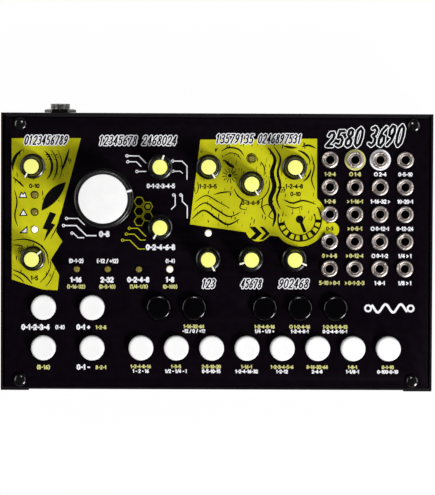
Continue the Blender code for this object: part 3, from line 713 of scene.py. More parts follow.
@dataclass
class InkSheet:
    """One printed colour, gathered as flat outlines in millimetres and pressed into a solid."""

    name: str
    outlines: list[Outline] = field(default_factory=list)
    gaps: list[Outline] = field(default_factory=list)

    def fill(self, outline: Sequence[Point]) -> None:
        """Add a filled outline, turned so that it runs counter-clockwise.

        Args:
            outline: The outline's points.
        """
        points = [tuple(point) for point in outline]
        area = sum(a[0] * b[1] - b[0] * a[1] for a, b in zip(points, points[1:] + points[:1]))
        self.outlines.append(points if area > 0 else points[::-1])

    def disc(self, centre: Point, radius: float, sides: int = 48) -> None:
        """Add a filled disc."""
        self.fill(circle(centre, radius, sides))

    def stroke(self, path: Sequence[Point], width: float, reach: float = 0.35) -> None:
        """Add a line of one width along a path.

        Args:
            path: The line's points.
            width: Its width.
            reach: How far each stretch runs past its ends, as a share of the width.
        """
        for start, end in zip(path, path[1:]):
            along = Vector(end) - Vector(start)
            if along.length < SHORTEST_STROKE_MM:
                continue
            along.normalize()
            side = left_of(along) * width / 2
            first = Vector(start) - along * width * reach
            last = Vector(end) + along * width * reach
            self.fill([first - side, last - side, last + side, first + side])

    def brush(self, path: Sequence[Point], width: float) -> None:
        """Add a line that is thin at its ends and widest in its middle.

        Args:
            path: The line's points, close together.
            width: Its widest place.
        """
        left, right = [], []
        for index, point in enumerate(path):
            before, after = path[max(0, index - 1)], path[min(len(path) - 1, index + 1)]
            along = (Vector(after) - Vector(before)).normalized()
            share = max(0.0, math.sin(math.pi * index / (len(path) - 1))) ** BRUSH_SWELL
            side = left_of(along) * width / 2 * (BRUSH_TIP + (1 - BRUSH_TIP) * share)
            left.append(Vector(point) + side)
            right.append(Vector(point) - side)
        self.fill(left + right[::-1])

    def leaf(self, start: Point, end: Point, left: float, right: float) -> None:
        """Add a filled shape between two bows.

        Args:
            start: Its first tip.
            end: Its last tip.
            left: How far its left side stands out from the line between the tips.
            right: How far its right side stands out, or less than nothing in a crescent.
        """
        along = Vector(end) - Vector(start)
        side = left_of(along).normalized()
        steps = 16
        shares = [step / steps for step in range(steps + 1)]
        bows = [[Vector(start) + along * t + side * reach * 4 * t * (1 - t) for t in shares]
                for reach in (left, -right)]
        self.fill(bows[0] + bows[1][-2:0:-1])

    def rope(self, path: Sequence[Point], width: float) -> None:
        """Add a line of one width with round corners and ends.

        Args:
            path: The line's points.
            width: Its width.
        """
        self.stroke(path, width, 0.0)
        for point in path:
            self.disc(point, width / 2, 16)

    def ring(self, centre: Point, radius: float, width: float, start: float = 0.0,
             end: float = 360.0) -> None:
        """Add a circle, or the part of one between two angles, drawn as a line."""
        steps = min(60, max(6, round(abs(end - start) * radius / 60)))
        self.stroke(arc(centre, radius, start, end, steps), width, 0.1)

    def label(self, middle: Point, height: float, text: str, weight: float) -> None:
        """Add a row of figures and signs.

        Args:
            middle: The middle of the row.
            height: The height of a figure.
            text: The figures and signs.
            weight: The width of a line, as a share of the height.
        """
        size, width = height * (1 - weight), height * weight
        length = sum(GLYPHS[sign][0] for sign in text) * size
        cursor, foot = middle[0] - length / 2, middle[1] - size / 2
        for sign in text:
            advance, lines = GLYPHS[sign]
            for line in lines:
                self.stroke([(cursor + x * size, foot + y * size) for x, y in line], width)
            cursor += advance * size

    def press(self, bottom: float, top: float) -> Mesh:
        """Join the outlines, leave out the gaps and press the sheet.

        Args:
            bottom: The height of its underside.
            top: The height of its face.

        Returns:
            One thin closed solid in metres, round the middle of the panel.
        """
        points: list[Point] = []
        loops: list[list[int]] = []
        for outline in self.outlines + self.gaps:
            loops.append(list(range(len(points), len(points) + len(outline))))
            points.extend(outline)
        placed, _, faces, _, _, owners = delaunay_2d_cdt(
            [Vector(point) for point in points], [], loops, INSIDE_ONLY, SAME_POINT_MM, True)
        inked = len(self.outlines)
        kept = [face for face, owner in zip(faces, owners) if owner and max(owner) < inked]
        shape = bmesh.new()
        corners: dict[tuple[int, float], bmesh.types.BMVert] = {}

        def corner(index: int, level: float) -> bmesh.types.BMVert:
            """Make the corner at one point and height, or find it again.

            Args:
                index: The point's number.
                level: The height.

            Returns:
                The corner.
            """
            if (index, level) not in corners:
                spot = placed[index]
                corners[index, level] = shape.verts.new((spot.x * MM, spot.y * MM, level))
            return corners[index, level]

        borders: set[tuple[int, int]] = set()
        for face in kept:
            shape.faces.new([corner(index, top) for index in face])
            shape.faces.new([corner(index, bottom) for index in reversed(face)])
            borders.update(zip(face, face[1:] + face[:1]))
        for start, end in borders:
            if (end, start) not in borders:
                shape.faces.new([corner(start, top), corner(start, bottom), corner(end, bottom),
                                 corner(end, top)])
        return mesh_of(shape, self.name)


@dataclass
class PanelLayout:
    """Where things stand on the panel, in millimetres from its middle."""

    knobs: tuple[Point, ...]
    black_keys: tuple[Point, ...]
    function_buttons: tuple[Point, ...]
    white_keys: tuple[Point, ...]
    screws: tuple[Point, ...] = ((-93.98, 61.25), (93.98, 61.25), (-93.98, -61.25), (93.98, -61.25))
    first_jack: Point = (53.97, 44.72)
    jack_steps: Point = (12.012, -13.017)
    jack_grid: tuple[int, int] = (4, 5)
    status_lamps: tuple[Point, ...] = ((-66.96, -7.99), (-52.19, -7.99), (-37.23, -7.99),
                                       (-22.48, -7.99))
    wave_lamps: tuple[Point, ...] = ((-87.15, 27.43), (-87.15, 19.21), (-87.15, 10.82))
    single_lamps: tuple[Point, ...] = ((16.43, 45.30), (-4.10, 9.34))

    @property
    def jacks(self) -> list[Point]:
        """The patch sockets, row by row from the rear left."""
        columns, rows = self.jack_grid
        return [(self.first_jack[0] + self.jack_steps[0] * across,
                 self.first_jack[1] + self.jack_steps[1] * down)
                for down in range(rows) for across in range(columns)]

    @property
    def holes(self) -> list[tuple[Sequence[Point], float, float]]:
        """The panel's holes: their places, their radius and the radius kept free of ink."""
        buttons = [*self.black_keys, *self.function_buttons, *self.white_keys]
        lamps = [*self.status_lamps, *self.wave_lamps, *self.single_lamps]
        return [(self.knobs, 3.7, 3.8), (buttons, 6.2, 6.3), (self.jacks, 3.2, 3.3),
                (lamps, 1.8, 1.9), (self.screws, 1.75, 1.8)]

    @classmethod
    def measured(cls, bench: Bench) -> "PanelLayout":
        """Read the places of the moving pieces from the frame.

        Args:
            bench: The bench with the loaded frame.

        Returns:
            The layout.
        """
        spots = {}
        for node in sorted(bench.frame["nodes"]):
            x, y, _ = middle(node)
            spots[node] = (x - bench.face.x) / MM, (y - bench.face.y) / MM
        return cls(*(tuple(spots[node] for node in spots if kind in node)
                     for kind in ("knob_cap", "black_key", "function_button", "white_key")))


@dataclass
class FrontPanel(Fitting):
    """The panel, with its round holes and eased edges."""

    layout: PanelLayout
    easing: float = 0.00012
    hole_sides: int = 64

    def build(self, bench: Bench) -> None:
        """Press the panel from a flat outline and put it in place.

        Args:
            bench: The bench.
        """
        size = bench.panel_size
        curve = bpy.data.curves.new("front_panel_outline", "CURVE")
        curve.dimensions, curve.fill_mode = "2D", "BOTH"
        curve.extrude = size.z / 2 - self.easing
        curve.bevel_depth, curve.bevel_resolution, curve.offset = self.easing, 1, -self.easing
        wide, deep = size.x / 2, size.y / 2
        loops = [[(-wide, -deep), (wide, -deep), (wide, deep), (-wide, deep)]]
        for places, radius, _ in self.layout.holes:
            loops += [circle((x * MM, y * MM), radius * MM, self.hole_sides) for x, y in places]
        for loop in loops:
            spline = curve.splines.new("POLY")
            spline.points.add(len(loop) - 1)
            for point, (x, y) in zip(spline.points, loop):
                point.co = (x, y, 0.0, 1.0)
            spline.use_cyclic_u = True
        shape = bmesh.new()
        shape.from_mesh(evaluated(bpy.data.objects.new("front_panel_outline", curve)))
        bmesh.ops.remove_doubles(shape, verts=shape.verts, dist=WELD)
        bmesh.ops.translate(shape, verts=shape.verts, vec=(0.0, 0.0, -size.z / 2))
        bench.add("panel_plate", mesh_of(shape, "panel_plate"), PANEL_PAINT, Slot.PANEL,
                  place=bench.face, stands_for=("front_panel",))


class Ink(Enum):
    """The inks in the order in which they are laid, with their finish and face height."""

    YELLOW = (YELLOW_INK, 0.00002)
    BLACK = (BLACK_INK, 0.000035)
    WHITE = (WHITE_INK, 0.00005)
    FIGURES = (LABEL_YELLOW, 0.00005)
    OVERLAY = (BLACK_INK, 0.000065)


# Labels by ink: the middle, the height and the figures
LABELS: dict[Ink, tuple[tuple[float, float, float, str], ...]] = {
    Ink.BLACK: (
        (-87.2, 31.7, 2.3, "0-10"), (-87.1, -12.4, 2.4, "1-5"), (-4.2, 31.8, 2.3, "1-2-3-5"),
        (16.2, 24.0, 2.3, "0-3-6-9"), (37.0, 32.0, 2.3, "1-2-4-8"), (37.7, 28.3, 2.3, "0-10"),
    ),
    Ink.WHITE: (
        (-26.7, 31.9, 2.3, "0-1-2-3-4-5"), (-53.6, 8.8, 3.0, "0-8"), (-26.7, 2.6, 2.9, "0-2-4-6-8"),
        (-67.2, -4.1, 2.1, "(0-1-2)"), (-52.2, -4.1, 2.1, "(-12 / +12)"),
        (-22.2, -4.0, 2.0, "(1-4)"), (-67.2, -13.1, 2.8, "1-16"), (-52.3, -13.1, 2.8, "2-32"),
        (-37.3, -13.0, 2.8, "0-2-4-8"), (-22.2, -12.9, 2.8, "1-8"),
        (-86.4, -35.9, 2.9, "0-1-2-3-4"), (-74.9, -35.9, 2.0, "(1-8)"),
        (-63.6, -35.8, 2.8, "0-1 +"), (-63.5, -55.0, 2.8, "0-1 -"),
    ),
    Ink.FIGURES: (
        (-67.2, -16.4, 2.0, "(1-16-32)"), (-52.3, -16.4, 2.0, "(0-5-10)"),
        (-37.2, -16.3, 2.0, "(1/4-1/8)"), (-22.2, -16.3, 2.0, "(0-100)"),
        (-55.2, -35.9, 2.0, "1-2-8"), (-82.8, -55.1, 2.2, "(8-16)"), (-55.1, -55.1, 2.0, "8-2-1"),
    ),
}
# Labels under the sockets, row by row
SOCKET_LABELS: tuple[tuple[str, ...], ...] = (
    ("1-2-4", "o 1-8", "o 2-4", "0-5-10"), ("1-2-8", "> 1-16-1", "1-16-32 >", "10-20-1"),
    ("0-3", "> 0-5-1", "o 0-12-1", "0-12-24"), ("0 > 4-8", "> 0-12-4", "o 0-1-2", "1/4 > 1"),
    ("5-10 > 0-1", "> 0-1-2-3", "1-8-1", "1/8 > 1"),
)
# Upper and lower label of each key, from the left
KEY_LABELS: tuple[tuple[str, str], ...] = (
    ("1-2-4-8-16", "1 - 2 - 16"), ("1-3-5", "1/2 - 1/4 - 1"), ("2-5-10-20", "0-5-10-15"),
    ("1-16-1", "1-2-4-16-32"), ("1-2-3-4-5-6", "1-2-12"), ("8-16-32-64", "2-4-8"),
    ("1-8-1", "1-1/8-1"), ("0-1-10", "0-100-0-10"),
)
RAISED_KEY_LABELS: tuple[tuple[str, str], ...] = (
    ("", ""), ("1-16-32-64", "-12 / 0 / +12"), ("1-2-4-8-16", "1/4 - 1/8 +"),
    ("o 1-2-4-16", "1-2-4-8-1"), ("1-2-3-5-8-13", "0-2-4-8-16-1"),
)
YELLOW_FIELDS: tuple[Outline, ...] = (
    [(-98.2, 54.4), (-65.1, 54.6), (-76.9, 9.8), (-73.9, 5.2), (-79.4, -3.6), (-75.4, -10.9),
     (-76.1, -18.2), (-83.2, -17.9), (-98.0, -13.1)],
    [(-8.1, 54.1), (47.7, 54.8), (47.9, 6.7), (40.0, 6.6), (11.3, 10.3), (-12.9, 13.6)],
)
YELLOW_DISCS: tuple[tuple[Point, float], ...] = (
    ((19.9, 11.8), 6.23), ((39.6, 16.2), 13.0), ((54.9, 11.3), 3.6),
)
# Brush lines swell in their middle: the widest place, and the points that the line passes
BRUSH_LINES: tuple[tuple[float, tuple[Point, ...]], ...] = (
    (1.1, ((-11.9, 16.2), (-6.4, 20.3), (-0.6, 16.8), (5.2, 13.6), (10.8, 16.2))),
    (0.8, ((-11.2, 20.2), (-5.8, 23.9), (0.0, 20.6), (6.0, 17.4), (11.6, 19.8))),
    (0.6, ((-10.5, 24.2), (-5.2, 27.4), (0.6, 24.4), (6.2, 21.4))),
    (0.5, ((-9.9, 28.0), (-8.9, 31.0), (-9.4, 34.0))),
    (2.2, ((24.2, 50.6), (27.6, 45.0), (26.2, 38.4), (27.4, 31.6), (25.4, 25.0), (27.8, 18.6),
     (26.8, 12.6))),
    (1.2, ((27.2, 50.8), (30.2, 45.4), (29.0, 38.8), (30.2, 32.0), (28.6, 26.0), (30.4, 21.0))),
    (0.7, ((22.0, 26.6), (21.4, 22.4), (23.2, 18.2))),
    (0.9, ((31.8, 25.6), (36.0, 24.0), (41.4, 25.2), (47.4, 23.4))),
    (0.6, ((33.0, 22.8), (37.2, 21.6), (41.0, 22.6))),
    (1.0, ((40.4, 50.8), (43.6, 51.6), (47.2, 50.2))),
    (0.7, ((45.0, 47.2), (46.4, 41.2), (45.2, 35.2), (46.9, 30.2))),
    (0.9, ((-97.6, 35.9), (-94.2, 33.0), (-92.4, 31.2))),
    (0.8, ((-97.6, 5.6), (-91.4, 6.1), (-85.2, 3.9), (-81.4, -0.4), (-80.5, -5.8))),
    (0.6, ((-97.7, 3.4), (-94.4, 3.3), (-92.6, 2.6))),
    (0.8, ((-97.6, -8.4), (-92.4, -10.8), (-88.2, -15.3))),
    (0.6, ((-97.6, -10.6), (-94.4, -12.2), (-92.0, -14.8))),
    (0.6, ((-79.3, -6.4), (-81.2, -10.8), (-84.6, -14.6))),
    (0.5, ((-77.6, -8.4), (-79.2, -12.8), (-81.8, -16.6))),
    (0.8, ((2.0, 48.6), (5.6, 50.4), (10.4, 49.4), (12.8, 46.4))),
    (0.5, ((3.4, 46.4), (6.2, 47.8), (9.6, 47.0), (11.4, 44.6))),
    (0.6, ((20.8, 43.9), (22.6, 40.8), (22.4, 38.4))),
    (0.6, ((-74.8, 18.0), (-76.2, 12.6), (-79.6, 6.2))),
    (0.7, ((-96.8, 29.8), (-95.6, 24.0), (-96.6, 17.4), (-95.2, 12.2))),
    (0.6, ((9.2, 27.6), (12.0, 25.4), (11.0, 21.6), (14.4, 20.6))),
    (0.6, ((20.4, 21.6), (24.2, 23.2), (26.4, 21.0), (24.9, 17.6), (28.4, 15.8))),
)
# Round brush lines: the centre, the radius, the widest place, and the angles of both ends
BRUSH_RINGS: tuple[tuple[Point, float, float, float, float], ...] = (
    ((-88.1, 41.1), 9.2, 1.2, -42, 52), ((-88.1, 41.1), 11.7, 0.8, -36, 44),
    ((-88.1, 41.1), 14.0, 0.5, -26, 34), ((36.9, 41.1), 8.2, 1.1, 20, 78),
    ((36.9, 41.1), 8.0, 0.9, -58, -4), ((16.4, 33.2), 8.6, 0.7, 196, 262),
    ((16.4, 33.2), 8.7, 0.6, -72, 22),
)
# Leaves: both ends, and how far each side stands out from the line between them
BLACK_LEAVES: tuple[tuple[Point, Point, float, float], ...] = (
    ((-83.9, 19.8), (-72.2, 33.6), 3.4, 2.3), ((-97.4, 37.8), (-92.2, 49.6), 3.0, -1.5),
    ((8.6, 40.4), (3.0, 44.9), 1.0, 0.4), ((-2.2, 27.6), (7.6, 29.2), 0.9, -0.2),
    ((31.2, 51.4), (38.6, 50.4), 0.3, 0.9), ((-70.6, 50.2), (-74.6, 38.2), 0.9, 0.3),
)
BLACK_SHAPES: tuple[Outline, ...] = (
    [(-79.9, 19.3), (-76.8, 18.4), (-79.1, 13.9), (-77.2, 13.2), (-82.9, 4.9), (-81.1, 10.7),
     (-83.4, 11.3)], [(-10.4, 49.6), (-8.9, 49.9), (-9.6, 45.0)],
    [(-1.2, 49.8), (0.4, 50.0), (-0.9, 47.9)],
    [(15.4, 12.6), (18.4, 12.6), (21.6, 9.4), (18.4, 6.4), (15.4, 6.4), (18.4, 9.4)],
    [(20.4, 12.6), (22.2, 12.6), (25.4, 9.4), (22.2, 6.4), (20.4, 6.4), (23.4, 9.4)],
)
# Suns: the centre, and the reach of the rays
SUNS: tuple[tuple[Point, float], ...] = (((6.1, 37.0), 3.6), ((-93.4, 1.0), 1.9))
# Blocks of dots: the first dot, the columns and the rows
DOT_ROWS: tuple[tuple[Point, int, int], ...] = (((29.4, 31.4), 3, 3), ((-81.6, 46.6), 5, 3))
# Traces: the width, and the points from the ringed end
WHITE_TRACES: tuple[tuple[float, tuple[Point, ...]], ...] = (
    (0.55, ((-42.4, 46.2), (-37.4, 46.2), (-34.0, 42.8))),
    (0.45, ((-42.0, 43.4), (-38.6, 43.4), (-36.4, 41.2))), (0.50, ((-37.6, 38.8), (-34.0, 38.8))),
    (0.55, ((-20.6, 43.8), (-16.8, 43.8), (-14.4, 41.4), (-14.4, 35.2))),
    (0.45, ((-20.4, 39.0), (-17.6, 39.0), (-16.6, 38.0))),
    (0.50, ((-16.6, 27.6), (-16.6, 24.6), (-14.2, 22.2), (-14.2, 16.6))),
    (0.45, ((-20.0, 27.6), (-20.0, 22.6), (-21.8, 20.8))),
    (0.60, ((-72.6, 12.8), (-67.2, 12.8), (-62.4, 8.0), (-57.8, 8.0))),
    (0.50, ((-71.2, 16.2), (-66.4, 16.2), (-63.4, 13.2))),
    (0.45, ((-68.6, 9.2), (-66.4, 7.0), (-63.6, 7.0))),
)
YELLOW_TRACES: tuple[tuple[float, tuple[Point, ...]], ...] = (
    (0.42, ((-42.6, 8.8), (-39.4, 8.8), (-36.6, 6.0), (-34.2, 6.0))),
    (0.42, ((-41.2, 11.6), (-37.8, 11.6), (-34.0, 7.8))),
    (0.38, ((-44.4, 5.9), (-41.6, 5.9), (-37.4, 1.7), (-34.4, 1.7))),
)
YELLOW_HEXAGONS: tuple[Point, ...] = (
    (-37.2, 24.4), (-33.1, 22.0), (-37.2, 19.7), (-33.1, 17.3), (-37.2, 15.0),
)
# Titles: the left foot, the length, the height and the figures
TITLES: tuple[tuple[Point, float, float, str], ...] = (
    ((-92.6, 51.2), 21.9, 4.7, "0123456789"), ((-57.0, 51.2), 19.4, 4.7, "12345678"),
    ((-36.3, 51.3), 17.6, 4.7, "2468024"), ((-1.3, 52.2), 19.4, 4.7, "13579135"),
    ((19.0, 52.3), 22.0, 4.7, "0246897531"), ((-7.5, -17.0), 7.4, 4.6, "123"),
    ((11.1, -17.0), 11.2, 4.6, "45678"), ((29.2, -16.9), 15.6, 4.6, "902468"),
)
# Large titles have the rise of their height before the figures
LARGE_TITLES: tuple[tuple[Point, float, float, float, str], ...] = (
    ((51.2, 50.6), 19.4, 7.8, 2.2, "2580"), ((71.3, 50.9), 19.4, 10.2, 0.9, "3690"),
)
# Signs of wave forms: the middle, and the outline round it
WAVE_SIGNS: tuple[tuple[Point, Outline], ...] = (
    ((-92.7, 27.4), [(-1.7, -1.3), (-0.9, 1.2), (0.0, 0.2), (0.9, 1.2), (1.7, -1.3)]),
    ((-92.5, 18.9), [(-1.7, -1.3), (0.0, 1.6), (1.7, -1.3)]),
    ((-92.4, 10.5), [(-1.7, -1.3), (1.6, 1.6), (1.6, -1.3)]),
)
# The wave between two rings: its left end, width and rise, its waves and its steps
EMBLEM: tuple[Point, float, float, int, int] = ((71.8, -26.3), 22.0, 1.9, 3, 48)
# Where hatch marks are scattered: the lowest and highest place, and how many are tried
TICK_FIELDS: tuple[tuple[Point, Point, int], ...] = (
    ((-97.0, -14.0), (-68.0, 50.0), 90), ((-11.0, 12.0), (46.5, 52.0), 190),
)
# Rings of the dial: the share of its radius, the width, and the angles of both ends
DIAL_RINGS: tuple[tuple[float, float, int, int], ...] = (
    (0.80, 0.7, 165, 395), (0.58, 0.5, 185, 380),
)


def covers(outline: Outline, x: float, y: float) -> bool:
    """Tell whether an outline covers a point.

    Args:
        outline: The outline.
        x: The point's place across.
        y: Its place up.

    Returns:
        Whether it does.
    """
    inside = False
    for (ax, ay), (bx, by) in zip(outline, outline[1:] + outline[:1]):
        if (ay > y) != (by > y) and x < (bx - ax) * (y - ay) / (by - ay) + ax:
            inside = not inside
    return inside


@dataclass
class PanelPrint(Fitting):
    """The print on the panel: coloured fields, line work, signs and figures."""

    layout: PanelLayout
    sink: float = 0.00001
    gap_sides: int = 48
    # The dial: the first angle, step and number of its marks, their ends and their two widths
    dial_marks: tuple[int, int, int] = (195, 20, 9)
    dial_mark_ends: Point = (0.62, 0.76)
    dial_pens: Point = (1.6, 0.9)
    # Suns: the disc and the rays' ends as shares of the reach, and the rays' width
    sun_disc: float = 0.26
    sun_ray_ends: Point = (0.42, 1.0)
    sun_pen: float = 0.38
    # Dots: the steps across and down, the shift of every other row, the radius and its loss by row
    dot_steps: Point = (1.25, 1.1)
    dot_shift: float = 0.6
    dot_radius: float = 0.42
    dot_loss: float = 0.07
    trace_ring: float = 0.62
    trace_ring_gap: float = 0.7
    hexagon_radius: float = 2.35
    hexagon_pen: float = 0.36
    # The width of a title's black lines, and of the white rim round them
    title_pen: Point = (0.66, 0.42)
    large_title_pen: Point = (1.3, 0.40)
    slant: float = 0.24
    figure_fill: float = 0.98
    socket_ring: float = 5.05
    # Labels: the width of a line as a share of the height, which is bold from some height on
    plain_weight: float = 0.23
    bold_weight: float = 0.25
    bold_from: float = 2.5
    socket_label: tuple[float, float, float] = (0.2, -6.85, 2.1)
    key_label_height: float = 1.9
    key_label_weight: float = 0.24
    key_label_drops: Point = (9.0, 9.1)
    key_line_drop: float = 2.2
    # Hatch marks: what their length, lean and widest place are drawn at random from
    tick_seed: int = 40
    tick_length: Point = (0.5, 2.4)
    tick_bias: float = 1.2
    tick_lean: Point = (-0.2, 0.6)
    tick_width: Point = (0.22, 0.55)
    # What they keep clear of: half a figure's width, the room beside and over a label, and the
    # wave signs' right, lowest and highest edge
    figure_half: float = 0.45
    tick_room: Point = (0.6, 2.4)
    wave_zone: tuple[float, float, float] = (-84.0, 6.0, 32.0)

    def __post_init__(self) -> None:
        """Lay out an empty sheet of each ink."""
        self.sheets = {ink: InkSheet(f"print_{ink.name.lower()}") for ink in Ink}

    def ray(self, centre: Point, degrees: float, reach: float, shares: Point, width: float) -> None:
        """Draw a black line outward from a centre.

        Args:
            centre: The centre.
            degrees: Which way the line runs.
            reach: The radius that it is measured by.
            shares: Where it starts and ends, as shares of the reach.
            width: Its width.
        """
        angle = math.radians(degrees)
        along = Vector((math.cos(angle), math.sin(angle)))
        ends = [Vector(centre) + along * reach * share for share in shares]
        self.sheets[Ink.BLACK].stroke(ends, width)

    def fields(self) -> None:
        """Lay the yellow fields and discs, with a dial on the large disc."""
        yellow, black = self.sheets[Ink.YELLOW], self.sheets[Ink.BLACK]
        for outline in YELLOW_FIELDS:
            yellow.fill(outline)
        for centre, radius in YELLOW_DISCS:
            yellow.disc(centre, radius, 72)
        dial, radius = YELLOW_DISCS[1]
        for share, width, start, end in DIAL_RINGS:
            black.ring(dial, radius * share, width, start, end)
        first, turn, count = self.dial_marks
        for step in range(count):
            self.ray(dial, first + turn * step, radius, self.dial_mark_ends,
                     self.dial_pens[step % 2])
        black.stroke([dial, (dial[0] + 2.4, dial[1] - radius * 0.44)], self.dial_pens[0])
        black.disc(dial, 1.9)

    def line_work(self) -> None:
        """Draw the brush lines, leaves, suns, dots and traces."""
        black, white, yellow = (self.sheets[ink] for ink in (Ink.BLACK, Ink.WHITE, Ink.YELLOW))
        for width, points in BRUSH_LINES:
            black.brush(smooth_path(points), width)
        for centre, radius, width, start, end in BRUSH_RINGS:
            black.brush(arc(centre, radius, start, end, 40), width)
        for leaf in BLACK_LEAVES:
            black.leaf(*leaf)
        for outline in BLACK_SHAPES:
            black.fill(outline)
        for centre, reach in SUNS:
            black.disc(centre, reach * self.sun_disc, 24)
            for degrees in range(8, 360, 30):
                self.ray(centre, degrees, reach, self.sun_ray_ends, self.sun_pen)
        for (x, y), columns, rows in DOT_ROWS:
            for index in range(columns * rows):
                down, across = divmod(index, columns)
                black.disc((x + self.dot_steps[0] * across + self.dot_shift * (down % 2),
                            y - self.dot_steps[1] * down), self.dot_radius - self.dot_loss * down,
                           12)
        for sheet, lines in ((white, WHITE_TRACES), (yellow, YELLOW_TRACES)):
            for width, points in lines:
                sheet.stroke(points, width)
                sheet.ring((points[0][0] - self.trace_ring_gap, points[0][1]), self.trace_ring,
                           width * 0.8)
        for centre in YELLOW_HEXAGONS:
            yellow.stroke(arc(centre, self.hexagon_radius, 0, 360, 6), self.hexagon_pen)
        yellow.disc(YELLOW_HEXAGONS[1], 1.1, 24)
        black.ring(self.layout.single_lamps[0], 2.3, 0.4)

    def ticks(self) -> None:
        """Scatter short hatch marks over the yellow fields, clear of the labels."""
        draw = random.Random(self.tick_seed)
        beside, over = self.tick_room
        busy = [(x, y, self.figure_half * height * len(text) + beside)
                for x, y, height, text in LABELS[Ink.BLACK]]
        right, lowest, highest = self.wave_zone
        for low, high, count in TICK_FIELDS:
            for _ in range(count):
                x, y = draw.uniform(low[0], high[0]), draw.uniform(low[1], high[1])
                length = draw.uniform(*self.tick_length) ** self.tick_bias
                lean = draw.uniform(*self.tick_lean)
                inside = all(any(covers(outline, x + lean * share, y + length * share)
                                 for outline in YELLOW_FIELDS) for share in (-0.3, 1.3))
                clear = all(abs(x - bx) > half or abs(y - by) > over for bx, by, half in busy)
                if inside and clear and (x > right or y > highest or y < lowest):
                    path = [(x + lean * share, y + length * share)
                            for share in (0, 0.25, 0.5, 0.75, 1)]
                    self.sheets[Ink.BLACK].brush(path, draw.uniform(*self.tick_width))

    def title(self, foot: Point, length: float, height: float, figures: str, pen: Point,
              rise: float = 0.0) -> None:
        """Add a row of slanted black figures with white rims.

        Args:
            foot: The row's left foot.
            length: Its length.
            height: The height of its first figure.
            figures: The figures.
            pen: The width of their black lines, and of the white rim.
            rise: How much taller the last figure is than the first.
        """
        line, rim = pen
        pitch = (length - self.slant * height) / len(figures)
        wide = pitch * self.figure_fill - line
        for index, figure in enumerate(figures):
            tall = height + rise * index / max(1, len(figures) - 1) - line
            left = foot[0] + index * pitch + line / 2
            for path in GLYPHS[figure][1]:
                points = [(left + x / FIGURE_WIDTH * wide + self.slant * (line / 2 + y * tall),
                           foot[1] + line / 2 + y * tall) for x, y in path]
                self.sheets[Ink.WHITE].rope(points, line + 2 * rim)
                self.sheets[Ink.OVERLAY].rope(points, line)

    def signs(self) -> None:
        """Add the titles, the socket rings, the wave signs and the emblem."""
        for foot, length, height, figures in TITLES:
            self.title(foot, length, height, figures, self.title_pen)
        for foot, length, height, rise, figures in LARGE_TITLES:
            self.title(foot, length, height, figures, self.large_title_pen, rise)
        white, overlay = self.sheets[Ink.WHITE], self.sheets[Ink.OVERLAY]
        self.sheets[Ink.FIGURES].disc(self.layout.jacks[1], self.socket_ring)
        white.disc(self.layout.jacks[2], self.socket_ring)
        for (x, y), form in WAVE_SIGNS:
            outline = [(x + dx, y + dy) for dx, dy in form]
            white.fill(outline)
            overlay.stroke(outline + outline[:1], 0.5, 0.5)
        (x, y), width, rise, waves, steps = EMBLEM
        wave = [(x + width * step / steps, y + rise * math.sin(math.tau * waves * step / steps))
                for step in range(steps + 1)]
        white.stroke(wave[6:-6], 1.1)
        for end in (x + 0.8, x + width - 0.8):
            white.ring((end, y), 1.5, 0.9)

    def labels(self) -> None:
        """Add the figures at the controls, lamps and sockets."""
        for ink, rows in LABELS.items():
            for x, y, height, text in rows:
                weight = self.bold_weight if height > self.bold_from else self.plain_weight
                self.sheets[ink].label((x, y), height, text, weight)
        places = iter(self.layout.jacks)
        shift, rise, height = self.socket_label
        for texts in SOCKET_LABELS:
            for column, text in enumerate(texts):
                x, y = next(places)
                ink = Ink.WHITE if column > 1 else Ink.FIGURES
                if any(math.dist((x, y + rise), centre) < radius - 1.0
                       for centre, radius in YELLOW_DISCS):
                    ink = Ink.BLACK
                self.sheets[ink].label((x + shift, y + rise), height, text, self.plain_weight)
        for places, rows, drop in zip((self.layout.white_keys, self.layout.black_keys),
                                      (KEY_LABELS, RAISED_KEY_LABELS), self.key_label_drops):
            for (x, y), (upper, lower) in zip(sorted(places), rows):
                for ink, text, level in ((Ink.FIGURES, upper, y - drop),
                                         (Ink.WHITE, lower, y - drop - self.key_line_drop)):
                    self.sheets[ink].label((x, level), self.key_label_height, text,
                                           self.key_label_weight)

    def build(self, bench: Bench) -> None:
        """Draw everything and press one sheet of each ink onto the panel.

        Args:
            bench: The bench.
        """
        for draw in (self.fields, self.line_work, self.ticks, self.signs, self.labels):
            draw()
        gaps = [circle(place, radius, self.gap_sides)
                for places, _, radius in self.layout.holes for place in places]
        for ink, sheet in self.sheets.items():
            finish, level = ink.value
            sheet.gaps = gaps
            bench.add(sheet.name, sheet.press(-self.sink, level), finish, Slot.PANEL,
                      place=bench.face)


# Controls


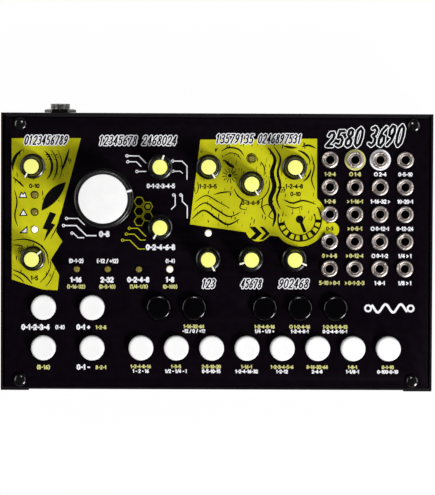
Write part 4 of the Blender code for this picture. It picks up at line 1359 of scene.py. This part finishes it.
@dataclass(frozen=True)
class Knob:
    """A kind of turned knob with a skirt, a cap and a pointer; heights are over the panel."""

    skirt: float
    grip: float
    top: float
    cap: float
    height: float
    flare: float
    reach: float
    cap_look: tuple[Finish, Slot]
    pointer_ink: Finish
    rounding: float = 0.00012
    pointer_width: float = 0.00080
    lift: float = 0.0008
    edge_height: float = 0.0011
    edge_rounding: float = 0.0002
    easing: float = 0.0001
    groove: float = 0.0001
    cap_thickness: float = 0.0012
    cap_rounding: float = 0.00022
    cap_sink: float = 0.00003
    rib_margin: float = 0.0005
    rib_foot: float = 0.0009
    rib_root: float = 0.0007
    rib_drop: float = 0.0002
    rib_depth: float = 0.0011
    strip_gap: float = 0.00003
    strip_proud: float = 0.00005
    strip_depth: float = 0.00045
    strip_heel: float = 0.0004
    strip_nose: float = 0.0009
    fin_easing: float = 0.00008
    shaft: float = 0.0030
    shaft_end: float = -0.0050
    shaft_bevel: float = 0.0003
    slope: float = 26.0

    def flank(self) -> Outline:
        """Draw the outer face, from the cap's rim down to the skirt's foot.

        Returns:
            Its points, as radius and height.
        """
        seat, width = self.cap + self.groove, self.skirt - self.grip
        edge = self.lift + self.edge_height
        cone = width * math.tan(math.radians(self.slope))
        points = [(seat, self.height - self.easing), (seat + self.easing, self.height)]
        points += arc((self.top - self.rounding, self.height - self.rounding), self.rounding, 90, 4)
        for left in (1.0, 0.96, 0.92, 0.87, 0.81, 0.73, 0.62, 0.45, 0.25):
            points.append((self.skirt - width * left,
                           edge + cone * left + (self.flare - cone) * left ** 8))
        points += arc((self.skirt - self.edge_rounding, edge - self.edge_rounding),
                      self.edge_rounding, 90 - self.slope, 0, 3)
        points += [(self.skirt, self.lift + self.easing), (self.skirt - self.easing, self.lift)]
        return points

    def grip_mesh(self) -> Mesh:
        """Turn the knob with its cap's seat and its shaft.

        Returns:
            The mesh.
        """
        floor = self.height - self.cap_thickness
        return lathe("knob_grip", [
            (0.0, floor), (self.cap + self.groove, floor), *self.flank(), (self.shaft, self.lift),
            (self.shaft, self.shaft_end + self.shaft_bevel),
            (self.shaft - self.shaft_bevel, self.shaft_end), (0.0, self.shaft_end)])

    def cap_mesh(self) -> Mesh:
        """Turn the cap, a disc with a rounded rim and a faint crown.

        Returns:
            The mesh.
        """
        low, high = self.height - self.cap_thickness, self.height - self.cap_sink
        rim = arc((self.cap - self.cap_rounding, high - self.cap_rounding), self.cap_rounding,
                  0, 90, 5)
        return lathe("knob_cap", [(0.0, low), (self.cap, low), *rim,
                                  (self.cap * 0.55, high + 0.00002), (0.0, self.height)])

    def fin(self, name: str, outline: Outline, width: float) -> Mesh:
        """Make a fin with eased edges that stands on the knob towards +Y.

        Args:
            name: The mesh's name.
            outline: Its side view, as radius and height.
            width: Its thickness.

        Returns:
            The mesh.
        """
        shape = bmesh.new()
        near, far = ([shape.verts.new((side, radius, height)) for radius, height in outline]
                     for side in (-width / 2, width / 2))
        shape.faces.new(near)
        shape.faces.new(far)
        for step in range(len(outline)):
            after = (step + 1) % len(outline)
            shape.faces.new((near[step], near[after], far[after], far[step]))
        bmesh.ops.recalc_face_normals(shape, faces=shape.faces)
        bmesh.ops.bevel(shape, geom=list(shape.edges), offset=self.fin_easing, segments=1,
                        profile=0.5, affect="EDGES")
        return mesh_of(shape, name)

    def rib_mesh(self) -> Mesh:
        """Make the rib under the pointer, which runs from the rim to the skirt's edge.

        Returns:
            The mesh.
        """
        foot, high = self.lift + self.rib_foot, self.height - self.rib_drop
        inner = self.cap + self.groove + self.easing
        return self.fin("knob_rib", [
            (inner, high), (self.reach, high), (self.skirt, high - (self.skirt - self.reach)),
            (self.skirt, foot), (self.grip - self.rib_root, foot),
            (inner, self.height - self.rib_depth)], self.pointer_width + self.rib_margin)

    def pointer_mesh(self) -> Mesh:
        """Make the pointer, a light strip let into the top of the rib and over its nose.

        Returns:
            The mesh.
        """
        inner, tip = self.cap + self.strip_gap, self.skirt + self.strip_proud
        high, low = self.height + self.strip_proud, self.height - self.strip_depth
        return self.fin("knob_pointer", [
            (inner, high), (self.reach, high), (tip, high - (tip - self.reach)),
            (tip, high - self.strip_nose), (self.reach - self.strip_heel, low), (inner, low)],
            self.pointer_width)

    @cached_property
    def meshes(self) -> tuple[Mesh, ...]:
        """The grip, cap, rib and pointer, which all knobs of a kind share."""
        return self.grip_mesh(), self.cap_mesh(), self.rib_mesh(), self.pointer_mesh()

    def place(self, bench: Bench, node: str, cap_node: str, body: str, degrees: float) -> None:
        """Put one knob on its body.

        Args:
            bench: The bench.
            node: The CAD node of the knob.
            cap_node: The CAD node of its cap.
            body: The body that both turn with.
            degrees: Where it points at rest, clockwise from the rear.
        """
        grip, cap, rib, pointer = self.meshes
        spot, turn = middle(cap_node, bench.face.z), -math.radians(degrees)
        for name, mesh, look, stands_for in (
                (node + "_grip", grip, (KNOB_PLASTIC, Slot.KNOB), (node,)),
                (cap_node + "_disc", cap, self.cap_look, (cap_node,)),
                (node + "_rib", rib, (KNOB_PLASTIC, Slot.KNOB), ()),
                (node + "_pointer", pointer, (self.pointer_ink, Slot.WHITE), ())):
            bench.add(name, mesh, *look, body=body, place=spot, turn=turn, stands_for=stands_for)


@dataclass
class KnobSet(Fitting):
    """The ten small knobs and the large one."""

    small: Knob = Knob(0.0060, 0.0047, 0.00435, 0.00355, 0.0135, 0.0014, 0.0058,
                       (CAP_PLASTIC, Slot.YELLOW), POINTER_INK)
    large: Knob = Knob(0.01425, 0.0136, 0.0134, 0.01165, 0.0150, 0.0012, 0.0137,
                       (WHITE_PLASTIC, Slot.WHITE), WHITE_INK, rounding=0.0007,
                       pointer_width=0.0010)
    small_angles: tuple[float, ...] = (-150, 49, 18, -150, 150, 150, 150, 150, -110, 114)
    large_angle: float = 73

    def build(self, bench: Bench) -> None:
        """Put every knob in place.

        Args:
            bench: The bench.
        """
        for number, degrees in enumerate(self.small_angles, 1):
            self.small.place(bench, f"small_knob_{number:02d}", f"small_knob_cap_{number:02d}",
                             f"knob_{number:02d}", degrees)
        self.large.place(bench, "large_knob", "large_knob_cap", "knob_large", self.large_angle)


@dataclass
class RoundButton(Fitting):
    """The round cap on its stem of each key and button; heights are over the panel."""

    radius: float = 0.0059
    proud: float = 0.0035
    body_height: float = 0.0065
    rounding: float = 0.0010
    crown: float = 0.0030
    crown_tilt: float = 15.0
    stem: float = 0.0017
    stem_end: float = -0.0078
    dish: float = 0.00006
    foot_bevel: float = 0.0002

    def mesh(self, name: str) -> Mesh:
        """Turn the cap and its stem.

        Args:
            name: The mesh's name.

        Returns:
            The mesh.
        """
        base = self.proud - self.body_height
        tilt, bend = math.radians(self.crown_tilt), self.radius - self.rounding
        flat = bend + (self.rounding - self.crown) * math.sin(tilt)
        low = self.proud - self.crown + (self.crown - self.rounding) * math.cos(tilt)
        crown = arc((flat, self.proud - self.crown), self.crown, 87, 90 - self.crown_tilt, 4)
        shoulder = arc((bend, low), self.rounding, 82 - self.crown_tilt, 0, 8)
        return lathe(name, [
            (0.0, self.proud - self.dish), (flat * 0.6, self.proud - self.dish * 0.6),
            (flat, self.proud), *crown, *shoulder, (self.radius, base + self.foot_bevel),
            (self.radius - self.foot_bevel, base), (self.stem, base), (self.stem, self.stem_end),
            (0.0, self.stem_end)])

    def build(self, bench: Bench) -> None:
        """Put a cap on the body of every key and function button.

        Args:
            bench: The bench.
        """
        white, black = self.mesh("white_key_cap"), self.mesh("black_key_cap")
        for kind, count, mesh, finish, slot in (
                ("white_key", 8, white, WHITE_PLASTIC, Slot.WHITE),
                ("black_key", 5, black, BLACK_PLASTIC, Slot.BLACK),
                ("function_button", 4, white, WHITE_PLASTIC, Slot.WHITE)):
            for number in range(1, count + 1):
                node = f"{kind}_{number}"
                bench.add(node + "_cap", mesh, finish, slot, body=node + "_body",
                          place=middle(node, bench.face.z), stands_for=(node,))


@dataclass
class Lamps(Fitting):
    """The lenses over the lamps' tips, of which the named ones are lit."""

    layout: PanelLayout
    radius: float = 0.00148
    collar: float = 0.0017
    collar_top: float = -0.0021
    dome_foot: float = 0.00052
    dome_rise: float = 0.00055
    foot: float = -0.0030
    lit: tuple[str, ...] = ("status_lamp_lens_4", "wave_lamp_lens_3", "single_lamp_lens_2")

    def mesh(self) -> Mesh:
        """Turn one lens with its low crown.

        Returns:
            The mesh.
        """
        dome = [(self.radius * math.cos(math.radians(angle)),
                 self.dome_foot + self.dome_rise * math.sin(math.radians(angle)))
                for angle in range(0, 90, 15)]
        return lathe("lamp_lens", [
            (0.0, self.foot), (self.collar, self.foot), (self.collar, self.collar_top),
            (self.radius, self.collar_top + 0.0001), *dome,
            (0.0, self.dome_foot + self.dome_rise)], 40)

    def build(self, bench: Bench) -> None:
        """Put a lens over each lamp.

        Args:
            bench: The bench.
        """
        dark, lit = self.mesh(), self.mesh()
        for kind, places in (("status", self.layout.status_lamps),
                             ("wave", self.layout.wave_lamps),
                             ("single", self.layout.single_lamps)):
            for number, place in enumerate(places, 1):
                name = f"{kind}_lamp_lens_{number}"
                mesh, finish = (lit, LAMP_LIT) if name in self.lit else (dark, LAMP_DARK)
                bench.add(name, mesh, finish, Slot.YELLOW, place=bench.spot(place))


# Sockets


@dataclass
class PatchSockets(Fitting):
    """The patch sockets on their board; heights are over the panel."""

    layout: PanelLayout
    nut_radius: float = 0.00405
    nut_bore: float = 0.00278
    nut_height: float = 0.0020
    slot_depth: float = 0.0006
    slot_steps: int = 4
    knurl: float = 0.00006
    barrel_radius: float = 0.00245
    thread_radius: float = 0.0029
    bore: float = 0.00185
    lining: float = 0.00008
    bore_end: float = -0.0105
    body_width: float = 0.0090
    body_depth: float = 0.0100
    body_top: float = -0.0023
    board_thickness: float = 0.0016
    steps: int = 72
    turn_seed: int = 7

    def nut_mesh(self) -> Mesh:
        """Turn a ring nut with a knurled side and two tool slots.

        Returns:
            The mesh.
        """
        top, outer, bore, foot = self.nut_height, self.nut_radius, self.nut_bore, 0.00004
        profile = [(bore, foot), (outer - 0.0003, foot), (outer, 0.0003), (outer, top - 0.00055),
                   (outer - 0.0001, top - 0.0003), (outer - 0.0004, top - 0.00004),
                   (outer - 0.0006, top), (bore + 0.0003, top), (bore + 0.00018, top - 0.00003),
                   (bore - 0.0001, top - 0.0004), (bore - 0.0001, top - 0.0010)]

        def shape(step: int, radius: float, height: float) -> Point:
            """Knurl the side and sink the slots.

            Args:
                step: The stretch round the axis.
                radius: The point's radius.
                height: Its height.

            Returns:
                The changed radius and height.
            """
            in_slot = step % (self.steps // 2) < self.slot_steps
            if in_slot and height > top - 0.0004 and radius > bore + 0.0002:
                height -= self.slot_depth
            if radius > outer - 0.00005 and step % 2:
                radius -= self.knurl
            return radius, height

        return lathe("socket_nut", profile, self.steps, closed=True, change=shape)

    def barrel_mesh(self) -> Mesh:
        """Turn a barrel with its thread and its lip.

        Returns:
            The mesh.
        """
        top, inner, outer = self.nut_height - 0.0001, self.bore + self.lining, self.barrel_radius
        thread, neck, foot = self.thread_radius, self.thread_radius - 0.0003, self.body_top - 0.0005
        return lathe("socket_barrel", [
            (inner, top - 0.0003), (inner + 0.00012, top - 0.00005), (inner + 0.00018, top),
            (outer - 0.0001, top), (outer, top - 0.0001), (outer, top - 0.0007),
            (neck, top - 0.0009), (neck, 0.0001), (thread, -0.0001), (thread, foot),
            (inner, foot)], self.steps, closed=True)

    def sleeve_mesh(self) -> Mesh:
        """Turn the dark lining of the bore, closed at its foot.

        Returns:
            The mesh.
        """
        rim, neck, foot = self.nut_height - 0.0005, self.body_top - 0.00055, self.bore_end - 0.0003
        outer, wide = self.bore + self.lining - 0.00002, self.bore + 0.0002
        return lathe("socket_sleeve", [
            (outer, rim), (self.bore, rim), (self.bore - 0.00005, self.bore_end),
            (0.0, self.bore_end), (0.0, foot), (wide, foot), (wide, neck), (outer, neck),
            (outer, rim)], 40)

    def board_mesh(self) -> Mesh:
        """Make the board under the socket bodies.

        Returns:
            The mesh.
        """
        low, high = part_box("jack_board")
        shape = bmesh.new()
        add_block(shape, low, Vector((high.x, high.y, low.z + self.board_thickness)), 0.0001)
        return mesh_of(shape, "socket_board")

    def bodies_mesh(self, bench: Bench) -> Mesh:
        """Make the socket bodies that stand on the board, with their bores.

        Args:
            bench: The bench.

        Returns:
            All the bodies as one mesh.
        """
        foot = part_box("jack_board")[0].z + self.board_thickness - 0.0001
        head = bench.face.z + self.body_top
        mouth, floor = head + 0.001, bench.face.z + self.bore_end - 0.0004
        half = Vector((self.body_width / 2, self.body_depth / 2, 0.0))
        radius = self.bore + 0.00022
        blocks, bores = bmesh.new(), bmesh.new()
        for place in self.layout.jacks:
            spot = bench.spot(place)
            low, high = spot - half, spot + half
            low.z, high.z = foot, head
            add_block(blocks, low, high, 0.00025)
            bmesh.ops.create_cone(
                bores, cap_ends=True, segments=40, radius1=radius, radius2=radius,
                depth=mouth - floor,
                matrix=Matrix.Translation((spot.x, spot.y, (mouth + floor) / 2)))
        return cut(mesh_of(blocks, "socket_bodies"), mesh_of(bores, "socket_bores"))

    def build(self, bench: Bench) -> None:
        """Put the board, its sockets and their nuts in place.

        Args:
            bench: The bench.
        """
        bench.add("socket_board", self.board_mesh(), BOARD_MASK, Slot.BOARD,
                  stands_for=("jack_board",))
        bench.add("socket_bodies", self.bodies_mesh(bench), MOULDING, Slot.MOULDING)
        nut, barrel, sleeve = self.nut_mesh(), self.barrel_mesh(), self.sleeve_mesh()
        draw = random.Random(self.turn_seed)
        for number, place in enumerate(self.layout.jacks, 1):
            spot = bench.spot(place)
            for kind, mesh, finish, slot, turn in (
                    ("nut", nut, NICKEL, Slot.NICKEL, draw.uniform(0, math.tau)),
                    ("barrel", barrel, NICKEL, Slot.NICKEL, 0.0),
                    ("sleeve", sleeve, BORE_BLACK, Slot.MOULDING, 0.0)):
                bench.add(f"socket_{kind}_{number:02d}", mesh, finish, slot, place=spot, turn=turn)


def bored_body(node: str, face: float, bore: float, depth: float, mouth: Place) -> Mesh:
    """Make a socket's body inside the rear wall, with its bore.

    Args:
        node: The CAD node whose box it fills.
        face: How far to the rear it reaches.
        bore: The radius of its bore.
        depth: How deep the bore runs.
        mouth: The middle of the bore's mouth.

    Returns:
        The mesh.
    """
    low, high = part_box(node)
    shape = bmesh.new()
    add_block(shape, low, Vector((high.x, face, high.z)), 0.0004)
    hole = rod("bore", bore, -depth, 0.001)
    hole.transform(Matrix.Translation(mouth) @ Matrix.Rotation(-math.pi / 2, 4, "X"))
    return cut(mesh_of(shape, node + "_body"), hole)


@dataclass
class OutputSocket(Fitting):
    """The output socket that passes through the rear wall, with its nut."""

    thread_radius: float = 0.00476
    thread_depth: float = 0.00028
    pitch: float = 0.00075
    bore: float = 0.00335
    bore_depth: float = 0.0235
    wall: float = 0.0011
    nut_sides: int = 6

    def barrel_mesh(self, length: float) -> Mesh:
        """Turn the threaded barrel, whose mouth is at zero.

        Args:
            length: How far it stands out of the socket's body.

        Returns:
            The mesh.
        """
        crest, root = self.thread_radius, self.thread_radius - self.thread_depth
        profile = [(self.bore, -length - 0.001), (root, -length - 0.001)]
        for turn in range(int((length - 0.0006) / self.pitch) + 1):
            level = -length + 0.0002 + self.pitch * turn
            profile += [(root, level), (crest, level + self.pitch * 0.45),
                        (crest, level + self.pitch * 0.6)]
        profile = [point for point in profile if point[1] < -0.0007]
        profile += [(root, -0.00055), (crest, -0.0004), (crest, -0.00015), (crest - 0.00015, 0.0),
                    (self.bore + 0.0005, 0.0), (self.bore, -0.0005)]
        return lathe("output_barrel", profile, 96, closed=True)

    def nut_mesh(self, corners: float, depth: float) -> Mesh:
        """Turn the hexagon nut and cut its round hole.

        Args:
            corners: The radius of its corners.
            depth: Its depth.

        Returns:
            The mesh.
        """
        hole = self.thread_radius + 0.0001
        nut = lathe("output_nut", [
            (hole + 0.0003, 0.0), (corners, 0.0), (corners, depth - 0.0005),
            (corners - 0.0012, depth), (hole + 0.0003, depth), (hole, depth - 0.0003),
            (hole, 0.0003)], self.nut_sides, closed=True)
        return cut(nut, rod("nut_hole", hole, -0.001, depth + 0.001))

    def build(self, bench: Bench) -> None:
        """Put the body, the barrel and the nut in place.

        Args:
            bench: The bench.
        """
        low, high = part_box("output_jack_nut")
        x, _, z = middle("output_jack_nut")
        mouth = (x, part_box("output_jack")[1].y, z)
        face = low.y - self.wall
        bench.add("output_socket_body",
                  bored_body("output_jack", face, self.bore, self.bore_depth, mouth),
                  MOULDING, Slot.MOULDING, stands_for=("output_jack",))
        bench.add("output_barrel", self.barrel_mesh(mouth[1] - face), THREAD_METAL, Slot.NICKEL,
                  place=mouth, to_rear=True)
        bench.add("output_nut", self.nut_mesh((high.x - low.x) / 2, high.y - low.y), SCREW_STEEL,
                  Slot.SCREW, place=(x, low.y, z), to_rear=True, stands_for=("output_jack_nut",))


@dataclass
class PowerInlet(Fitting):
    """The power inlet, its collar flush in the rear wall."""

    collar: float = 0.0039
    bore: float = 0.0030
    bore_depth: float = 0.0093
    pin: float = 0.0010
    pin_set_back: float = 0.0010
    wall: float = 0.0012

    def build(self, bench: Bench) -> None:
        """Put the body, its collar and its pin in place.

        Args:
            bench: The bench.
        """
        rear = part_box("power_inlet")[1].y
        x, _, z = middle("power_inlet")
        mouth, tip, foot = (x, rear, z), -self.pin_set_back, -self.bore_depth - 0.0005
        bench.add("power_inlet_body",
                  bored_body("power_inlet", rear - self.wall, self.bore, self.bore_depth, mouth),
                  MOULDING, Slot.MOULDING, stands_for=("power_inlet",))
        collar = lathe("inlet_collar", [
            (self.bore, -0.0015), (self.collar, -0.0015), (self.collar, -0.0002),
            (self.collar - 0.0002, 0.0), (self.bore + 0.0003, 0.0), (self.bore, -0.0003)],
            72, closed=True)
        pin = lathe("inlet_pin", [(0.0, foot), (self.pin, foot), (self.pin, tip - 0.0003),
                                  (self.pin - 0.0003, tip), (0.0, tip)], 32)
        bench.add("power_inlet_collar", collar, MOULDING, Slot.MOULDING, place=mouth, to_rear=True)
        bench.add("power_inlet_pin", pin, NICKEL, Slot.NICKEL, place=mouth, to_rear=True)


# Fasteners and feet


@dataclass
class Fasteners(Fitting):
    """The four panel screws and the four rubber feet."""

    head: float = 0.0030
    head_height: float = 0.0019
    dome: float = 0.0010
    shank: float = 0.00145
    length: float = 0.0080
    pitch: float = 0.0005
    recess_span: float = 0.0017
    recess_width: float = 0.0006
    recess_depth: float = 0.0011
    foot_top: float = 0.0055
    foot_base: float = 0.0048
    foot_rounding: float = 0.0008
    turns: tuple[float, ...] = (20.0, 65.0, 5.0, 40.0)

    def blank_mesh(self) -> Mesh:
        """Turn a pan head screw without its recess.

        Returns:
            The mesh.
        """
        height = self.head_height
        profile = [(0.0, height)]
        profile += [(self.head * math.sin(math.radians(angle)),
                     height - self.dome * (1 - math.cos(math.radians(angle))))
                    for angle in (20, 38, 55, 70, 82)]
        profile += [(self.head, height - 0.0011), (self.head, 0.0002),
                    (self.head - 0.0002, 0.00003), (self.shank, 0.00003)]
        level = -0.0004
        while level > -self.length + 0.0006:
            profile += [(self.shank, level), (self.shank - 0.0002, level - self.pitch / 2)]
            level -= self.pitch
        profile += [(self.shank - 0.0003, -self.length), (0.0, -self.length)]
        return lathe("panel_screw", profile, 48)

    def screw_mesh(self, bench: Bench) -> Mesh:
        """Cut the cross recess into the screw.

        Args:
            bench: The bench.

        Returns:
            The screw, with the bare steel of its recess as its second material.
        """
        height, end_taper, side_taper = self.head_height, 0.55, 0.8
        middle_z, depth = height + 0.0005 - self.recess_depth / 2, self.recess_depth + 0.001
        cross = bmesh.new()
        for x, y, taper_x, taper_y in (
                (self.recess_span, self.recess_width / 2, end_taper, side_taper),
                (self.recess_width / 2, self.recess_span, side_taper, end_taper)):
            matrix = (Matrix.Translation((0, 0, middle_z))
                      @ Matrix.Diagonal((2 * x, 2 * y, depth, 1.0)))
            for vert in bmesh.ops.create_cube(cross, size=1.0, matrix=matrix)["verts"]:
                if vert.co.z < height:
                    vert.co.x *= taper_x
                    vert.co.y *= taper_y
        made = cut(self.blank_mesh(), mesh_of(cross, "screw_cross"))
        for finish in (SCREW_STEEL, BARE_STEEL):
            made.materials.append(bench.finish(finish))
        for face in made.polygons:
            near = face.center.xy.length < self.recess_span * 0.99
            if near and height - self.recess_depth * 1.1 < face.center.z < height - 0.0002:
                face.material_index = 1
        return made

    def foot_mesh(self) -> Mesh:
        """Turn a rubber foot with a rounded foot edge and a screw recess.

        Returns:
            The mesh.
        """
        top, recess = 0.0025, 0.0013
        edge = arc((self.foot_base - self.foot_rounding, self.foot_rounding), self.foot_rounding,
                   0, -90, 5)
        return lathe("foot", [(0.0, top), (self.foot_top, top), *edge, (0.0024, 0.0),
                              (0.0021, 0.0003), (0.0021, recess), (0.0, recess)], 64)

    def build(self, bench: Bench) -> None:
        """Put the screws and feet in place.

        Args:
            bench: The bench.
        """
        screw, foot = self.screw_mesh(bench), self.foot_mesh()
        for number, degrees in enumerate(self.turns, 1):
            node = f"panel_screw_{number}"
            bench.add(f"pan_head_screw_{number}", screw, SCREW_STEEL, Slot.SCREW,
                      place=middle(node, bench.face.z), turn=math.radians(degrees),
                      stands_for=(node,))
            node = f"foot_{number}"
            bench.add(f"rubber_foot_{number}", foot, RUBBER, Slot.RUBBER,
                      place=middle(node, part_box(node)[0].z), stands_for=(node,))


# Studio


@dataclass
class SoftBox:
    """One soft lamp."""

    name: str
    place: tuple[float, float, float]
    size: tuple[float, float]
    level: float

    def build(self, target: Vector) -> None:
        """Hang the lamp.

        Args:
            target: What it points at.
        """
        light = bpy.data.lights.new(self.name, "AREA")
        light.shape = "RECTANGLE"
        light.size, light.size_y = self.size
        light.energy = self.level * math.pi * self.size[0] * self.size[1]
        lamp = bpy.data.objects.new(self.name, light)
        lamp.location = self.place
        lamp.rotation_euler = (target - lamp.location).to_track_quat("-Z", "Y").to_euler()
        bpy.context.scene.collection.objects.link(lamp)


@dataclass
class Studio:
    """The white floor, the pale surroundings, the soft lamps and the camera."""

    lamps: tuple[SoftBox, ...] = (
        SoftBox("front_right_box", (0.90, -0.90, 1.03), (0.50, 0.50), 37.0),
        SoftBox("left_box", (-1.24, 0.24, 1.00), (1.2, 0.42), 4.9),
        SoftBox("right_box", (1.24, 0.24, 1.00), (1.2, 0.42), 4.2),
        SoftBox("rear_spot", (0.001, 0.236, 0.61), (0.10, 0.10), 21.0),
    )
    # The strength of the surroundings by how far up a direction points, from level to overhead
    sky: tuple[Point, ...] = ((0.0, 0.25), (0.02, 0.25), (0.05, 0.03), (0.84, 0.03), (0.88, 0.06),
                              (0.955, 0.06), (0.972, 0.012), (1.0, 0.012))
    floor_size: float = 12.0
    floor_colour: Colour = (0.85, 0.85, 0.85)
    floor_roughness: float = 0.9
    floor_specular: float = 0.1
    floor_white: float = 0.98
    sensor: float = 36.0
    lens: float = 229.69
    stand: tuple[float, float, float] = (-0.0085034, 0.0527198, 1.3270743)
    aim: Point = (0.000339, 0.002568)
    roll: float = 0.2435

    def floor(self) -> None:
        """Lay the floor, white to the camera and in reflections, with a trace of shadow."""
        shape = bmesh.new()
        bmesh.ops.create_grid(shape, x_segments=1, y_segments=1, size=self.floor_size / 2)
        floor = bpy.data.objects.new("studio_floor", mesh_of(shape, "studio_floor"))
        bpy.context.scene.collection.objects.link(floor)
        material = bpy.data.materials.new("floor_white")
        material.use_nodes = True
        board, nodes = NodeBoard(material.node_tree), material.node_tree.nodes
        shader, output = nodes["Principled BSDF"], nodes["Material Output"]
        shader.inputs["Base Color"].default_value = (*self.floor_colour, 1.0)
        shader.inputs["Roughness"].default_value = self.floor_roughness
        shader.inputs["Specular IOR Level"].default_value = self.floor_specular
        path = board.node("ShaderNodeLightPath")
        seen = board.node("ShaderNodeMath", operation="MAXIMUM")
        share = board.node("ShaderNodeMath", {1: self.floor_white}, operation="MULTIPLY")
        glow = board.node("ShaderNodeEmission")
        blend = board.node("ShaderNodeMixShader")
        board.link((path.outputs["Is Camera Ray"], seen.inputs[0]),
                   (path.outputs["Is Glossy Ray"], seen.inputs[1]),
                   (seen.outputs[0], share.inputs[0]), (share.outputs[0], blend.inputs[0]),
                   (shader.outputs[0], blend.inputs[1]), (glow.outputs[0], blend.inputs[2]),
                   (blend.outputs[0], output.inputs["Surface"]))
        floor.data.materials.append(material)

    def surroundings(self) -> None:
        """Light the surroundings: white to the camera, else pale below and dim above."""
        world = bpy.data.worlds.new("studio_world")
        bpy.context.scene.world = world
        world.use_nodes = True
        board, back = NodeBoard(world.node_tree), world.node_tree.nodes["Background"]
        place = board.node("ShaderNodeTexCoord")
        split = board.node("ShaderNodeSeparateXYZ")
        level = board.node("ShaderNodeValToRGB")
        seen = board.node("ShaderNodeMath", operation="MAXIMUM")
        path = board.node("ShaderNodeLightPath")
        steps = level.color_ramp.elements
        while len(steps) < len(self.sky):
            steps.new(0.5)
        for step, (height, strength) in zip(steps, self.sky):
            step.position, step.color = height, (strength, strength, strength, 1.0)
        board.link((place.outputs["Generated"], split.inputs[0]),
                   (split.outputs["Z"], level.inputs["Fac"]),
                   (level.outputs["Color"], seen.inputs[0]),
                   (path.outputs["Is Camera Ray"], seen.inputs[1]),
                   (seen.outputs[0], back.inputs["Strength"]))
        back.inputs["Color"].default_value = (1.0, 1.0, 1.0, 1.0)

    def camera(self, face: Vector) -> None:
        """Set the camera over the panel at the photograph's angle.

        Args:
            face: The middle of the panel's face.
        """
        data = bpy.data.cameras.new("camera")
        data.sensor_fit, data.sensor_width, data.lens = "HORIZONTAL", self.sensor, self.lens
        camera = bpy.data.objects.new("camera", data)
        target = face + Vector((*self.aim, 0.0))
        place = face + Vector(self.stand)
        back = (place - target).normalized()
        right = Vector((0.0, 1.0, 0.0)).cross(back).normalized()
        turn = Matrix((right, back.cross(right), back)).transposed()
        turn = turn @ Matrix.Rotation(math.radians(self.roll), 3, "Z")
        camera.matrix_world = Matrix.Translation(place) @ turn.to_4x4()
        bpy.context.scene.collection.objects.link(camera)
        bpy.context.scene.camera = camera

    def build(self, face: Vector) -> None:
        """Build the whole studio round the panel.

        Args:
            face: The middle of the panel's face.
        """
        bpy.context.scene.view_settings.view_transform = "Standard"
        self.camera(face)
        self.floor()
        self.surroundings()
        for lamp in self.lamps:
            lamp.build(face)


def main() -> None:
    """Load the frame, dress it and set up the studio."""
    logging.basicConfig(level=logging.INFO, format="%(name)s: %(message)s")
    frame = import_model()
    bench = Bench(frame)
    Studio().build(bench.face)
    layout = PanelLayout.measured(bench)
    for fitting in (KeptSolids(), FrontPanel(layout), PanelPrint(layout), KnobSet(), RoundButton(),
                    Lamps(layout), PatchSockets(layout), OutputSocket(), PowerInlet(),
                    Fasteners()):
        fitting.build(bench)
    LOG.info("%d pieces", bench.count)


if __name__ == "__main__":
    main()
